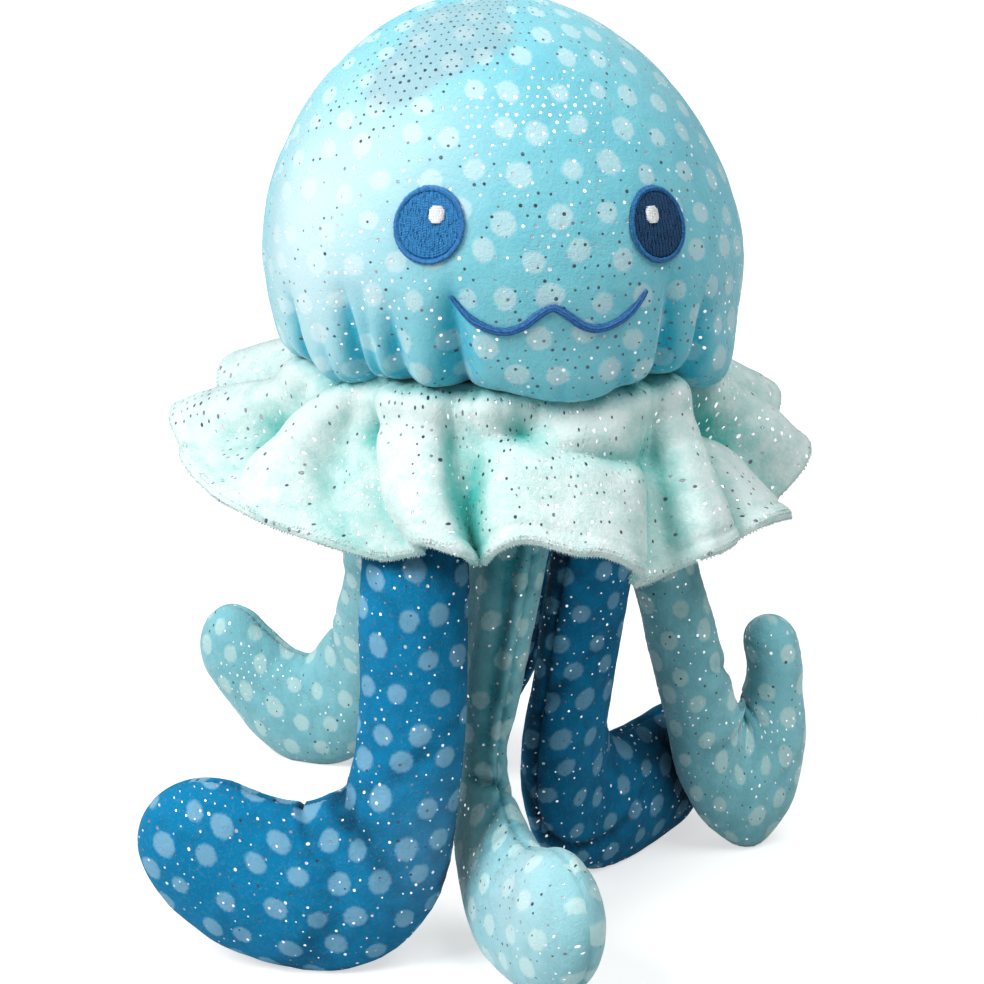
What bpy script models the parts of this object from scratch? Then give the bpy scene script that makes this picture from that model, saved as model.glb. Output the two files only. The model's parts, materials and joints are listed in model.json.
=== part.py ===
# Plush jellyfish dog toy: stuffed dome head, gathered ruffle, base panel, six stuffed
# J-shaped tentacles, and stitched eyes and mouth. Metres, +Z up, the face looks along -Y.
# Azimuths are in degrees about the head's axis, 0 at the face, positive towards +X.
import bpy
import bmesh
from math import cos, exp, pi, radians, sin, sqrt
from mathutils import Vector
from mathutils.bvhtree import BVHTree

MM = 0.001

# Head
HEAD_RADIUS = 70.0 * MM
HEAD_WIDEST_Z = 197.0 * MM
HEAD_TOP_Z = 272.5 * MM
HEAD_ROUNDNESS = 1.86
CROWN_LEAN = 3.0 * MM
NECK_Z = 170.0 * MM
NECK_RADIUS = 54.0 * MM
HEAD_COLUMNS = 90
DOME_ROWS = 12

# Gathers above the neck seam: azimuth, depth, half width in degrees, height above the seam
GATHERS = [
    (-22.5, 5.5 * MM, 4.0, 33.0 * MM),
    (29.5, 5.0 * MM, 4.0, 32.0 * MM),
    (-38.5, 3.5 * MM, 4.0, 24.0 * MM),
    (-50.5, 3.0 * MM, 4.0, 20.0 * MM),
    (41.5, 3.0 * MM, 4.0, 22.0 * MM),
    (73.5, 3.0 * MM, 4.5, 20.0 * MM),
    (-74.5, 3.0 * MM, 4.5, 22.0 * MM),
]
BACK_GATHERS = [-146.5, -122.5, -98.5, 97.5, 121.5, 145.5, 173.5]
BACK_GATHER_DEPTH = 3.2 * MM
BACK_GATHER_HEIGHT = 24.0 * MM

# Pockets of plush that hang over the neck seam between the gathers: azimuth, half width in
# degrees, drop below the seam, swell outwards
POCKETS = [
    (5, 17, 5.0 * MM, 1.5 * MM),
    (57, 13, 8.5 * MM, 2.5 * MM),
    (84, 8, 2.0 * MM, 3.0 * MM),
    (-31, 7, 1.0 * MM, 1.0 * MM),
    (-62, 10, 4.0 * MM, 1.0 * MM),
    (-88, 9, 1.0 * MM, 1.5 * MM),
    (-112, 9, 0.5 * MM, 1.0 * MM),
    (110, 10, 0.5 * MM, 1.0 * MM),
    (134, 10, 0.5 * MM, 1.0 * MM),
    (160, 10, 0.5 * MM, 1.0 * MM),
    (-170, 10, 0.5 * MM, 1.0 * MM),
    (-134, 10, 0.5 * MM, 1.0 * MM),
]
POCKET_REACH = 14.0 * MM

# Seams between pieces are sewn tight; the solids keep this gap
SEAM_GAP = 0.3 * MM

# Ruffle
RUFFLE_INNER_RADIUS = 47.0 * MM
RUFFLE_FLANGE = 2.4 * MM
RUFFLE_THICKNESS = 4.2 * MM
VALLEY_DEPTH = 6.0 * MM
RUFFLE_COLUMNS = 132
RUFFLE_ROWS = [0.0, 0.12, 0.28, 0.46, 0.64, 0.82, 1.0]
# How the skirt hangs: azimuth, droop below level in degrees, seam to hem along the slope
SKIRT = [
    (-180, 28, 50 * MM),
    (-138, 24, 50 * MM),
    (-110, 32, 51 * MM),
    (-75, 50, 50 * MM),
    (-55, 61, 49 * MM),
    (-40, 62, 49 * MM),
    (-29, 62, 46 * MM),
    (-18, 62, 49 * MM),
    (-8, 63, 45 * MM),
    (4, 64, 49 * MM),
    (20, 67, 57 * MM),
    (34, 64, 54 * MM),
    (45, 60, 52 * MM),
    (64, 61, 55 * MM),
    (84, 47, 50 * MM),
    (109, 35, 49 * MM),
    (140, 28, 50 * MM),
    (180, 28, 50 * MM),
]
# Folds: azimuths, half widths in degrees and heights in mm, each at the seam, halfway and at
# the hem, and how flat the fold's top is
FOLDS = [
    ((-78, -97, -108), (7, 8, 10), (4, 8, 7), 3),
    ((-76, -88, -80), (4, 4, 22), (-8, -6, 7), 4),
    ((-55, -68, -60), (5, 7, 13), (7, 10, 7), 3),
    ((-37, -34, -23), (11, 8, 6), (8, 10, 10), 5),
    ((4, 2, 1), (25, 22, 16), (8, 9, 10), 8),
    ((42, 37, 36), (7, 5, 6), (8, 10, 6), 4),
    ((56, 56, 54), (6, 8, 14), (-9, 0, 9), 4),
    ((70, 78, 84), (9, 8, 9), (6, 8, 7), 4),
    ((104, 106, 108), (7, 8, 8), (7, 8, 8), 3),
    ((130, 131, 132), (7, 8, 8), (7, 9, 9), 3),
    ((156, 155, 154), (7, 8, 8), (7, 8, 8), 3),
    ((180, 180.5, 181), (7, 8, 8), (7, 9, 9), 3),
    ((-156, -155, -154), (7, 8, 8), (7, 8, 8), 3),
    ((-132, -133, -134), (7, 8, 8), (7, 8, 8), 3),
]
# Pits pressed into the folds: azimuth, place from seam to hem, half width in degrees,
# half length as a share of the slope, depth
PITS = [
    (-7, 0.27, 5, 0.10, 9 * MM),
    (15, 0.40, 15, 0.07, 6 * MM),
    (-48, 0.24, 4.5, 0.11, 6 * MM),
    (53, 0.37, 10, 0.12, 9 * MM),
    (-80, 0.50, 8, 0.13, 7 * MM),
    (-18, 0.55, 3.5, 0.25, 5 * MM),
]

# Base panel
PANEL_THICKNESS = 4.7 * MM

# Tentacles, each cut flat as a J, sewn round its outline and stuffed. Roots stand on one ring.
# Each has the azimuth of its root, its plush, and the heading of the root's section. The rows
# run from root to toe: x, y, z of the middle, half width in the plane of the seam, half
# thickness, the azimuth that the toe heads for, and the section's turn in the plane of the
# seam: 0 where the tentacle runs down, 90 where it runs level, 180 where it runs up.
ROOT_RADIUS = 33.0 * MM
ROOT_HALF_WIDTH = 12.5 * MM
ROOT_HALF_THICKNESS = 9.5 * MM
TENTACLE_RINGS = 22
TENTACLE_SIDES = 12
TENTACLES = {
    "tentacle_blue_front_left": (-60, "blue_plush", -135, [
        (-33, -37, 134, 14.5, 10.0, -115, 0),
        (-36, -49, 107, 15.5, 11.5, -102, 0),
        (-37, -52, 76, 15.5, 11.5, -102, 2),
        (-41, -53, 52, 17.0, 12.0, -102, 15),
        (-51, -51, 31, 24.5, 12.5, -105, 50),
        (-67, -48, 24.4, 26.1, 13.0, -108, 80),
        (-88, -41, 30, 24.0, 12.5, -108, 102),
        (-112, -33, 45, 18.5, 11.0, -108, 118),
    ]),
    "tentacle_aqua_front": (0, "aqua_plush", 40, [
        (-3, -32, 130, 14.5, 9.5, 20, 0),
        (-6, -31, 105, 15.0, 8.5, 15, 0),
        (-11, -30, 78, 15.0, 7.5, 15, 0),
        (-14, -31, 56, 15.0, 6.0, 15, 5),
        (-14, -39, 38, 15.0, 8.0, 18, 42),
        (-11, -57, 22, 20.0, 12.0, 18, 72),
        (-6, -77, 21, 21.5, 13.0, 18, 93),
        (2, -102, 31.5, 22.5, 12.5, 18, 106),
    ]),
    "tentacle_blue_right": (60, "blue_plush", 150, [
        (25, -22, 125, 15.0, 10.5, 135, -8),
        (21, -20, 97, 15.5, 11.0, 133, -5),
        (18, -16, 68, 15.5, 11.0, 133, 2),
        (17, -11, 48, 17.0, 11.5, 133, 18),
        (22, -3, 29, 21.5, 11.5, 132, 50),
        (35, 6, 20.5, 22.0, 11.5, 130, 82),
        (52, 20, 20.5, 22.0, 11.5, 129, 92),
        (76, 40, 24, 21.5, 11.0, 129, 98),
    ]),
    "tentacle_aqua_right": (120, "aqua_plush", 50, [
        (45, 9, 125, 11.5, 12.5, 70, 10),
        (53, 3, 92, 11.0, 12.5, 78, 15),
        (60, 1, 65, 11.5, 12.5, 78, 18),
        (65.5, 4, 46, 12.5, 12.5, 78, 25),
        (70, 6.5, 36, 17.0, 12.5, 78, 55),
        (76, 9, 27.5, 23.0, 12.0, 77, 80),
        (82.5, 10, 22.6, 23.2, 12.0, 76, 97),
        (89, 11.5, 29, 19.5, 12.0, 75, 116),
        (92, 13, 39, 14.0, 12.0, 74, 140),
        (92.5, 15.5, 49, 10.0, 12.0, 73, 171),
        (92.5, 16.5, 60, 9.0, 11.5, 72, 183),
        (90.5, 18.5, 74, 9.0, 11.0, 72, 188),
    ]),
    "tentacle_blue_back": (180, "blue_plush", -110, [
        (6, 42, 125, 15.0, 10.5, -145, 12),
        (12, 53, 92, 15.0, 10.5, -154, 12),
        (13, 63, 66, 15.5, 11.0, -154, 20),
        (7, 76, 44, 17.5, 11.5, -154, 42),
        (-2, 92, 27, 21.5, 12.0, -154, 70),
        (-10, 109, 21, 22.5, 12.0, -155, 92),
        (-17, 131, 28, 19.0, 11.0, -156, 105),
    ]),
    "tentacle_aqua_back_left": (-120, "aqua_plush", -160, [
        (-31, 38, 125, 15.0, 10.0, -135, 15),
        (-27, 57, 89, 15.0, 10.5, -126, 20),
        (-27, 77, 61, 15.0, 10.5, -125, 22),
        (-30, 97, 37, 17.0, 11.0, -125, 42),
        (-40, 108, 20.5, 20.5, 11.0, -125, 68),
        (-54, 118, 20.5, 20.0, 11.0, -124, 98),
        (-67, 126, 34, 15.5, 10.5, -124, 124),
        (-78, 132, 50, 14.0, 9.5, -124, 130),
    ]),
}

# Embroidery on the face
EYES = {"eye_left": (-28.8, 215.2 * MM), "eye_right": (26.0, 213.7 * MM)}
EYE_RADIUS = 10.2 * MM
RIM_WIDTH = 1.5 * MM
RIM_THICKNESS = 1.4 * MM
FILL_THICKNESS = 1.0 * MM
GLINT_SIZE = 4.4 * MM
GLINT_THICKNESS = 0.7 * MM
GLINT_SHIFT = (2.2 * MM, 2.9 * MM)
STITCH_GAP = 0.45 * MM
MOUTH_AZIMUTH = -1.2
MOUTH_WIDTH = 2.3 * MM
MOUTH_END_WIDTH = 1.2 * MM
MOUTH_THICKNESS = 1.3 * MM
# Right half of the smile, centre to corner: distance along the cheek, height
MOUTH_HALF = [(0, 193.7), (3.5, 192), (8, 188.8), (13, 187.4), (18.5, 188.8), (23.5, 192),
              (27.5, 196.5)]

COLOURS = {
    "head_plush": ((0.171, 0.604, 0.672), 0.85, 0.0),
    "ruffle_plush": ((0.604, 0.871, 0.787), 0.85, 0.0),
    "blue_plush": ((0.003, 0.171, 0.448), 0.8, 0.0),
    "aqua_plush": ((0.171, 0.571, 0.637), 0.85, 0.0),
    "panel_plush": ((0.171, 0.571, 0.637), 0.85, 0.0),
    "eye_thread": ((0.019, 0.133, 0.381), 0.5, 0.0),
    "rim_thread": ((0.024, 0.133, 0.420), 0.5, 0.0),
    "glint_thread": ((0.85, 0.87, 0.88), 0.5, 0.0),
    "mouth_thread": ((0.027, 0.147, 0.451), 0.5, 0.0),
}


def clear_scene():
    for ob in list(bpy.data.objects):
        bpy.data.objects.remove(ob)


def make_collection():
    parts = bpy.data.collections.new("plush_jellyfish_dog_toy")
    bpy.context.scene.collection.children.link(parts)
    return parts


def make_material(name):
    colour, roughness, metallic = COLOURS[name]
    mat = bpy.data.materials.new(name)
    mat.use_nodes = True
    shader = mat.node_tree.nodes["Principled BSDF"]
    shader.inputs["Base Color"].default_value = (*colour, 1.0)
    shader.inputs["Roughness"].default_value = roughness
    shader.inputs["Metallic"].default_value = metallic
    return mat


def finish(bm, name, material, parts):
    bmesh.ops.recalc_face_normals(bm, faces=bm.faces[:])
    mesh = bpy.data.meshes.new(name)
    bm.to_mesh(mesh)
    bm.free()
    mesh.materials.append(material)
    ob = bpy.data.objects.new(name, mesh)
    parts.objects.link(ob)
    return ob


def polar(radius, azimuth, z):
    a = radians(azimuth)
    return Vector((radius * sin(a), -radius * cos(a), z))


def turn_between(a, b):
    return (a - b + 180.0) % 360.0 - 180.0


def smooth_step(x):
    x = min(max(x, 0.0), 1.0)
    return x * x * (3.0 - 2.0 * x)


def join_rings(bm, rings):
    # Quads between rings of equal length, each ring closed on itself
    for low, high in zip(rings, rings[1:]):
        count = len(low)
        for i in range(count):
            j = (i + 1) % count
            bm.faces.new((low[i], low[j], high[j], high[i]))


def fan(bm, ring, tip):
    for i in range(len(ring)):
        bm.faces.new((ring[i], ring[(i + 1) % len(ring)], tip))


def head_profile():
    # Radius and height of each row, neck seam to crown
    rows = [(NECK_RADIUS, NECK_Z)]
    for share, rise in ((0.875, 1.2), (0.938, 4.5), (0.972, 10.0), (0.991, 18.0)):
        rows.append((HEAD_RADIUS * share, NECK_Z + rise * MM))
    power = 2.0 / HEAD_ROUNDNESS
    for i in range(DOME_ROWS):
        a = pi / 2 * i / DOME_ROWS
        z = HEAD_WIDEST_Z + (HEAD_TOP_Z - HEAD_WIDEST_Z) * sin(a) ** power
        rows.append((HEAD_RADIUS * cos(a) ** power, z))
    return rows


def gather_depth(azimuth, z):
    gathers = GATHERS + [(a, BACK_GATHER_DEPTH, 4.5, BACK_GATHER_HEIGHT) for a in BACK_GATHERS]
    depth = 0.0
    for middle, deep, width, height in gathers:
        fade = 1.0 - smooth_step((z - NECK_Z) / height)
        depth += deep * fade * exp(-(turn_between(azimuth, middle) / width) ** 2)
    return depth


def pocket(azimuth, z):
    # Drop and swell of the plush that hangs over the seam
    near_seam = 1.0 - smooth_step((z - NECK_Z) / POCKET_REACH)
    drop = swell = 0.0
    for middle, width, deep, out in POCKETS:
        share = near_seam * exp(-(turn_between(azimuth, middle) / width) ** 2)
        drop += deep * share
        swell += out * share
    return drop, swell


def leaning(point):
    # The crown leans a little to the viewer's left
    rise = (point.z - HEAD_WIDEST_Z) / (HEAD_TOP_Z - HEAD_WIDEST_Z)
    return point - Vector((CROWN_LEAN * rise, 0, 0))


def make_head(parts, material):
    bm = bmesh.new()
    profile = head_profile()
    rings = []
    for k, (radius, z) in enumerate(profile):
        ring = []
        for i in range(HEAD_COLUMNS):
            azimuth = GATHERS[0][0] + 360.0 * i / HEAD_COLUMNS
            drop, swell = pocket(azimuth, z) if k else (0.0, 0.0)
            r = radius - gather_depth(azimuth, z) * (1.0 if k else 0.6) + swell
            ring.append(bm.verts.new(leaning(polar(r, azimuth, z - drop))))
        rings.append(ring)
    join_rings(bm, rings)
    fan(bm, rings[0], bm.verts.new(leaning(Vector((0, 0, NECK_Z)))))
    fan(bm, rings[-1], bm.verts.new(leaning(Vector((0, 0, HEAD_TOP_Z)))))
    return finish(bm, "head", material, parts)


def skirt(azimuth):
    # Droop in radians and slope length at an azimuth, eased between the listed ones
    turned = turn_between(azimuth, 0.0)
    for (a, droop_a, slant_a), (b, droop_b, slant_b) in zip(SKIRT, SKIRT[1:]):
        if turned <= b:
            blend = smooth_step((turned - a) / (b - a))
            return radians(droop_a + (droop_b - droop_a) * blend), slant_a + (
                slant_b - slant_a) * blend


def along_slope(values, share):
    # Smooth through a value at the seam, halfway and at the hem
    seam, middle, hem = values
    return seam + (4 * middle - 3 * seam - hem) * share + 2 * (seam - 2 * middle + hem) * share ** 2


def fold_height(azimuth, share):
    total = 0.0
    for middles, widths, heights, flatness in FOLDS:
        width = max(along_slope(widths, share), 2.0)
        away = abs(turn_between(azimuth, along_slope(middles, share))) / width
        height = max(along_slope(heights, share) * MM + VALLEY_DEPTH, 0.0)
        total += (height * exp(-away ** flatness)) ** 3
    lift = (total ** (1 / 3) - VALLEY_DEPTH) * (0.1 + 0.9 * share ** 0.7)
    for middle, place, width, length, depth in PITS:
        away = (turn_between(azimuth, middle) / width) ** 2 + ((share - place) / length) ** 2
        lift -= depth * exp(-away)
    return lift


def ruffle_point(azimuth, share, side):
    # Side is 1 on top and -1 underneath
    angle, slant = skirt(azimuth)
    half = (RUFFLE_FLANGE + (RUFFLE_THICKNESS - RUFFLE_FLANGE) * min(share / 0.3, 1.0)) / 2
    radius = NECK_RADIUS - SEAM_GAP
    middle = NECK_Z - SEAM_GAP - RUFFLE_FLANGE / 2
    if share == 0:
        return polar(radius, azimuth, middle + side * half)
    out = fold_height(azimuth, share) + side * half
    run = slant * share
    radius += run * cos(angle) + out * sin(angle)
    return polar(radius, azimuth, middle - run * sin(angle) + out * cos(angle))


def make_ruffle(parts, material):
    bm = bmesh.new()
    rings = []
    top = NECK_Z - SEAM_GAP
    rows = [(share, 1) for share in RUFFLE_ROWS] + [(share, -1) for share in reversed(RUFFLE_ROWS)]
    for share, side in rows:
        rings.append([])
        for i in range(RUFFLE_COLUMNS):
            point = ruffle_point(360.0 * i / RUFFLE_COLUMNS, share, side)
            rings[-1].append(bm.verts.new(point))
    for z in (top - RUFFLE_FLANGE, top):
        rings.append([])
        for i in range(RUFFLE_COLUMNS):
            azimuth = 360.0 * i / RUFFLE_COLUMNS
            rings[-1].append(bm.verts.new(polar(RUFFLE_INNER_RADIUS, azimuth, z)))
    join_rings(bm, rings + rings[:1])
    return finish(bm, "ruffle", material, parts)


def make_base_panel(parts, material):
    bm = bmesh.new()
    bmesh.ops.create_cone(bm, cap_ends=True, segments=48, radius1=RUFFLE_INNER_RADIUS - SEAM_GAP,
                          radius2=RUFFLE_INNER_RADIUS - SEAM_GAP, depth=PANEL_THICKNESS)
    middle = NECK_Z - SEAM_GAP - PANEL_THICKNESS / 2
    bmesh.ops.translate(bm, verts=bm.verts[:], vec=(0, 0, middle))
    return finish(bm, "base_panel", material, parts)


def smooth_between(p0, p1, p2, p3, t):
    # Catmull-Rom blend of four rows of numbers
    out = []
    for a, b, c, d in zip(p0, p1, p2, p3):
        out.append(0.5 * (2 * b + (c - a) * t + (2 * a - 5 * b + 4 * c - d) * t * t
                          + (3 * b - a - 3 * c + d) * t ** 3))
    return out


def tentacle_rows(azimuth, heading, rows):
    top = NECK_Z - 2 * SEAM_GAP - PANEL_THICKNESS
    root = polar(ROOT_RADIUS, azimuth, top)
    first = [root.x, root.y, top, ROOT_HALF_WIDTH, ROOT_HALF_THICKNESS, heading, 0]
    return [first] + [[v * MM for v in row[:5]] + list(row[5:]) for row in rows]


def spread(rows, count):
    # Sample the rows along their middle line, closer together towards the toe. Each sample
    # comes with the length that is left to the toe.
    fine = []
    padded = [rows[0]] + rows + [rows[-1]]
    for i in range(len(rows) - 1):
        for step in range(20):
            fine.append(smooth_between(*padded[i:i + 4], step / 20))
    fine.append(list(rows[-1]))
    lengths = [0.0]
    for a, b in zip(fine, fine[1:]):
        lengths.append(lengths[-1] + (Vector(b[:3]) - Vector(a[:3])).length)
    total = lengths[-1]
    samples = []
    for k in range(count):
        share = 1.0 - (1.0 - k / (count - 1)) ** 1.4
        near = min(range(len(fine)), key=lambda n: abs(lengths[n] - share * total))
        samples.append((fine[near], total - lengths[near]))
    return samples


def section(bm, row, left):
    # An oval across the tentacle; the toe rounds off over its own half width
    x, y, z, half_width, half_thickness, heading, turn = row
    toe = polar(1.0, heading, 0.0)
    across = -toe * cos(radians(turn)) - Vector((0, 0, sin(radians(turn))))
    depth = polar(1.0, heading + 90.0, 0.0)
    shrink = sqrt(1.0 - (1.0 - min(left / half_width, 1.0)) ** 2)
    ring = []
    for i in range(TENTACLE_SIDES):
        a = 2 * pi * i / TENTACLE_SIDES
        offset = across * cos(a) * half_width + depth * sin(a) * half_thickness
        ring.append(bm.verts.new(Vector((x, y, z)) + offset * shrink))
    return ring


def cut_sole(bm):
    # A tentacle that meets the floor rests on a small flat
    geom = bm.verts[:] + bm.edges[:] + bm.faces[:]
    cut = bmesh.ops.bisect_plane(bm, geom=geom, dist=1e-6, plane_co=(0, 0, 0),
                                 plane_no=(0, 0, -1), clear_outer=True)
    edges = [e for e in cut["geom_cut"] if isinstance(e, bmesh.types.BMEdge)]
    if edges:
        bmesh.ops.contextual_create(bm, geom=edges)


def make_tentacle(parts, name, material, azimuth, heading, rows):
    bm = bmesh.new()
    samples = spread(tentacle_rows(azimuth, heading, rows), TENTACLE_RINGS)
    rings = [section(bm, row, left) for row, left in samples[:-1]]
    join_rings(bm, rings)
    fan(bm, rings[-1], bm.verts.new(samples[-1][0][:3]))
    bm.faces.new(rings[0])
    cut_sole(bm)
    return finish(bm, name, material, parts)


def head_surface(head):
    bm = bmesh.new()
    bm.from_mesh(head.data)
    tree = BVHTree.FromBMesh(bm)
    bm.free()
    return tree


def on_face(tree, azimuth, z, along, up, lift):
    # A point on the face, a distance along the cheek and up from an azimuth and height
    turned = azimuth + along / HEAD_RADIUS * 180.0 / pi
    outward = polar(1.0, turned, 0.0)
    hit, normal, index, distance = tree.ray_cast(Vector((0, 0, z + up)), outward)
    return hit + outward * lift


def make_patch(parts, name, material, tree, centre, outline, low, high):
    # A stitched fill: two skins that follow the face, closed at the edge
    bm = bmesh.new()
    azimuth, z = centre
    skins = []
    for lift in (low, high):
        rings = []
        for share in (1.0, 0.55):
            rings.append([bm.verts.new(on_face(tree, azimuth, z, a * share, u * share, lift))
                          for a, u in outline])
        middle = sum((p[0] for p in outline)) / len(outline), sum((p[1] for p in outline)) / len(
            outline)
        tip = bm.verts.new(on_face(tree, azimuth, z, middle[0], middle[1], lift))
        join_rings(bm, rings)
        fan(bm, rings[-1], tip)
        skins.append(rings[0])
    join_rings(bm, skins)
    return finish(bm, name, material, parts)


def circle(radius, count=24):
    return [(radius * cos(2 * pi * i / count), radius * sin(2 * pi * i / count))
            for i in range(count)]


def make_rim(parts, name, material, tree, centre):
    bm = bmesh.new()
    azimuth, z = centre
    low = STITCH_GAP
    high = STITCH_GAP + RIM_THICKNESS
    inner = EYE_RADIUS - RIM_WIDTH
    rings = []
    for radius, lift in ((EYE_RADIUS, low), (EYE_RADIUS, high), (inner, high), (inner, low)):
        rings.append([bm.verts.new(on_face(tree, azimuth, z, a, u, lift))
                      for a, u in circle(radius)])
    join_rings(bm, rings + rings[:1])
    return finish(bm, name, material, parts)


def make_eye(parts, materials, tree, name, azimuth, z):
    centre = (azimuth, z)
    top = STITCH_GAP + FILL_THICKNESS
    fill = circle(EYE_RADIUS - RIM_WIDTH - SEAM_GAP)
    make_patch(parts, name, materials["eye_thread"], tree, centre, fill, STITCH_GAP, top)
    make_rim(parts, name + "_rim", materials["rim_thread"], tree, centre)
    half = GLINT_SIZE / 2
    cut = half * 0.45
    square = [(half, cut), (cut, half), (-cut, half), (-half, cut),
              (-half, -cut), (-cut, -half), (cut, -half), (half, -cut)]
    inward = GLINT_SHIFT[0] / HEAD_RADIUS * 180.0 / pi
    spot = (azimuth + (inward if azimuth < 0 else -inward), z + GLINT_SHIFT[1])
    make_patch(parts, name + "_glint", materials["glint_thread"], tree, spot, square,
               top + SEAM_GAP, top + SEAM_GAP + GLINT_THICKNESS)


def mouth_line(steps):
    # The whole smile, corner to corner, smoothed through its few points
    half = [(a * MM, z * MM) for a, z in MOUTH_HALF]
    points = [(-a, z) for a, z in reversed(half[1:])] + half
    padded = [points[0]] + points + [points[-1]]
    line = []
    for i in range(len(points) - 1):
        for step in range(steps):
            line.append(smooth_between(*padded[i:i + 4], step / steps))
    return line + [list(points[-1])]


def make_mouth(parts, material, tree):
    bm = bmesh.new()
    line = mouth_line(3)
    rings = []
    for k, (along, z) in enumerate(line):
        before = line[max(k - 1, 0)]
        after = line[min(k + 1, len(line) - 1)]
        way = Vector((after[0] - before[0], after[1] - before[1])).normalized()
        from_end = min(k, len(line) - 1 - k) / 5.0
        width = MOUTH_END_WIDTH + (MOUTH_WIDTH - MOUTH_END_WIDTH) * min(from_end, 1.0)
        side = Vector((-way.y, way.x)) * width / 2
        ring = []
        for sign, lift in ((1, 0), (1, MOUTH_THICKNESS), (-1, MOUTH_THICKNESS), (-1, 0)):
            spot = (along + sign * side.x, z + sign * side.y)
            ring.append(bm.verts.new(on_face(tree, MOUTH_AZIMUTH, spot[1], spot[0], 0.0,
                                             STITCH_GAP + lift)))
        rings.append(ring)
    join_rings(bm, rings)
    bm.faces.new(rings[0])
    bm.faces.new(rings[-1])
    return finish(bm, "mouth", material, parts)


def centre_on_plan(parts):
    # The plan's middle goes to x = y = 0; the soles are already at z = 0
    corners = [v.co for ob in parts.objects for v in ob.data.vertices]
    middle_x = (min(c.x for c in corners) + max(c.x for c in corners)) / 2
    middle_y = (min(c.y for c in corners) + max(c.y for c in corners)) / 2
    for ob in parts.objects:
        for vert in ob.data.vertices:
            vert.co.x -= middle_x
            vert.co.y -= middle_y


def build():
    clear_scene()
    parts = make_collection()
    materials = {name: make_material(name) for name in COLOURS}
    head = make_head(parts, materials["head_plush"])
    make_ruffle(parts, materials["ruffle_plush"])
    make_base_panel(parts, materials["panel_plush"])
    for name, (azimuth, plush, heading, rows) in TENTACLES.items():
        make_tentacle(parts, name, materials[plush], azimuth, heading, rows)
    tree = head_surface(head)
    for name, (azimuth, z) in EYES.items():
        make_eye(parts, materials, tree, name, azimuth, z)
    make_mouth(parts, materials["mouth_thread"], tree)
    centre_on_plan(parts)


build()
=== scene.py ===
import bmesh
import bpy
import json
import numpy as np
from math import cos, pi, radians, sin
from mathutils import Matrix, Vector
from mathutils.bvhtree import BVHTree

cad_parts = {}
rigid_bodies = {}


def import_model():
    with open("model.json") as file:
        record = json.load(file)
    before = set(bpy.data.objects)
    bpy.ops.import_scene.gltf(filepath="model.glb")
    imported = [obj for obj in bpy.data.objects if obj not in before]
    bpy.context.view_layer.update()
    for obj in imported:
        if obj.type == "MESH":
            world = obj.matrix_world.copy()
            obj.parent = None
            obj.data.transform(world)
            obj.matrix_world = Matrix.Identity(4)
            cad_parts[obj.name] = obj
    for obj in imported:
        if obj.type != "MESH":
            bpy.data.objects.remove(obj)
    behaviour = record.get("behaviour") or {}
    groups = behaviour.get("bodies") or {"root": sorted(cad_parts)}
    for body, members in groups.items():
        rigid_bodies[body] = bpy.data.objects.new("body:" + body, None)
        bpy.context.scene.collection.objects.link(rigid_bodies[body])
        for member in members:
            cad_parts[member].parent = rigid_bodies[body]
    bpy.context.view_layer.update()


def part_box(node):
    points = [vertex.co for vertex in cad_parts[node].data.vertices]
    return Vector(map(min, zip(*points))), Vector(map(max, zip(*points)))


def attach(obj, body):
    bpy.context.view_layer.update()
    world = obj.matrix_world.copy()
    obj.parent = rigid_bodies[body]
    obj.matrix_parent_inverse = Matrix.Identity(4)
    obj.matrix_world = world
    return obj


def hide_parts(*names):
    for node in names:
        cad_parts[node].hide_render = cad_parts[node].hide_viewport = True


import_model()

mm = 0.001
seamGap = 0.3 * mm
panelLow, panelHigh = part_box("base_panel")
axisX = (panelLow[0] + panelHigh[0]) / 2
axisY = (panelLow[1] + panelHigh[1]) / 2


# Numbers and shapes
def polar(radius, azimuth, z):
    # Azimuth in degrees, 0 at the face, positive towards +X
    a = np.radians(azimuth)
    return np.stack(np.broadcast_arrays(radius * np.sin(a), -radius * np.cos(a), z), axis=-1)


def turnBetween(a, b):
    return (a - b + 180.0) % 360.0 - 180.0


def smoothStep(x):
    x = np.clip(x, 0.0, 1.0)
    return x * x * (3.0 - 2.0 * x)


def catmull(rows, steps):
    # Smooth line through the rows, each a list of numbers
    rows = np.array(rows, dtype=float)
    padded = np.vstack([rows[:1], rows, rows[-1:]])
    t = (np.arange(steps) / steps)[:, None]
    line = []
    for i in range(len(rows) - 1):
        a, b, c, d = padded[i:i + 4]
        line.append(0.5 * (2 * b + (c - a) * t + (2 * a - 5 * b + 4 * c - d) * t ** 2
                           + (3 * b - a - 3 * c + d) * t ** 3))
    return np.vstack(line + [rows[-1:]])


def lengthsAlong(points):
    return np.concatenate([[0.0], np.cumsum(np.linalg.norm(np.diff(points, axis=0), axis=1))])


def resample(line, lengths, wanted):
    return np.stack([np.interp(wanted, lengths, column) for column in line.T], axis=-1)


def waves(points, size, seed, count=14):
    # Soft lumps from -1 to 1, about one size across
    rng = np.random.default_rng(seed)
    total = np.zeros(points.shape[:-1])
    for _ in range(count):
        way = rng.normal(size=3)
        way *= 2 * pi / (size * rng.uniform(0.8, 2.0) * np.linalg.norm(way))
        total += np.sin(points @ way + rng.uniform(0, 2 * pi))
    return total / np.sqrt(count * 2)


def gridNormals(points, wrap):
    # Outward side depends on the grid's order; wrap is for a grid closed on its columns
    if wrap:
        wide = np.concatenate([points[:, -1:], points, points[:, :1]], axis=1)
        across = (wide[:, 2:] - wide[:, :-2])
    else:
        across = np.gradient(points, axis=1)
    normal = np.cross(across, np.gradient(points, axis=0))
    size = np.linalg.norm(normal, axis=-1, keepdims=True)
    return normal / np.maximum(size, 1e-12)


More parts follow.
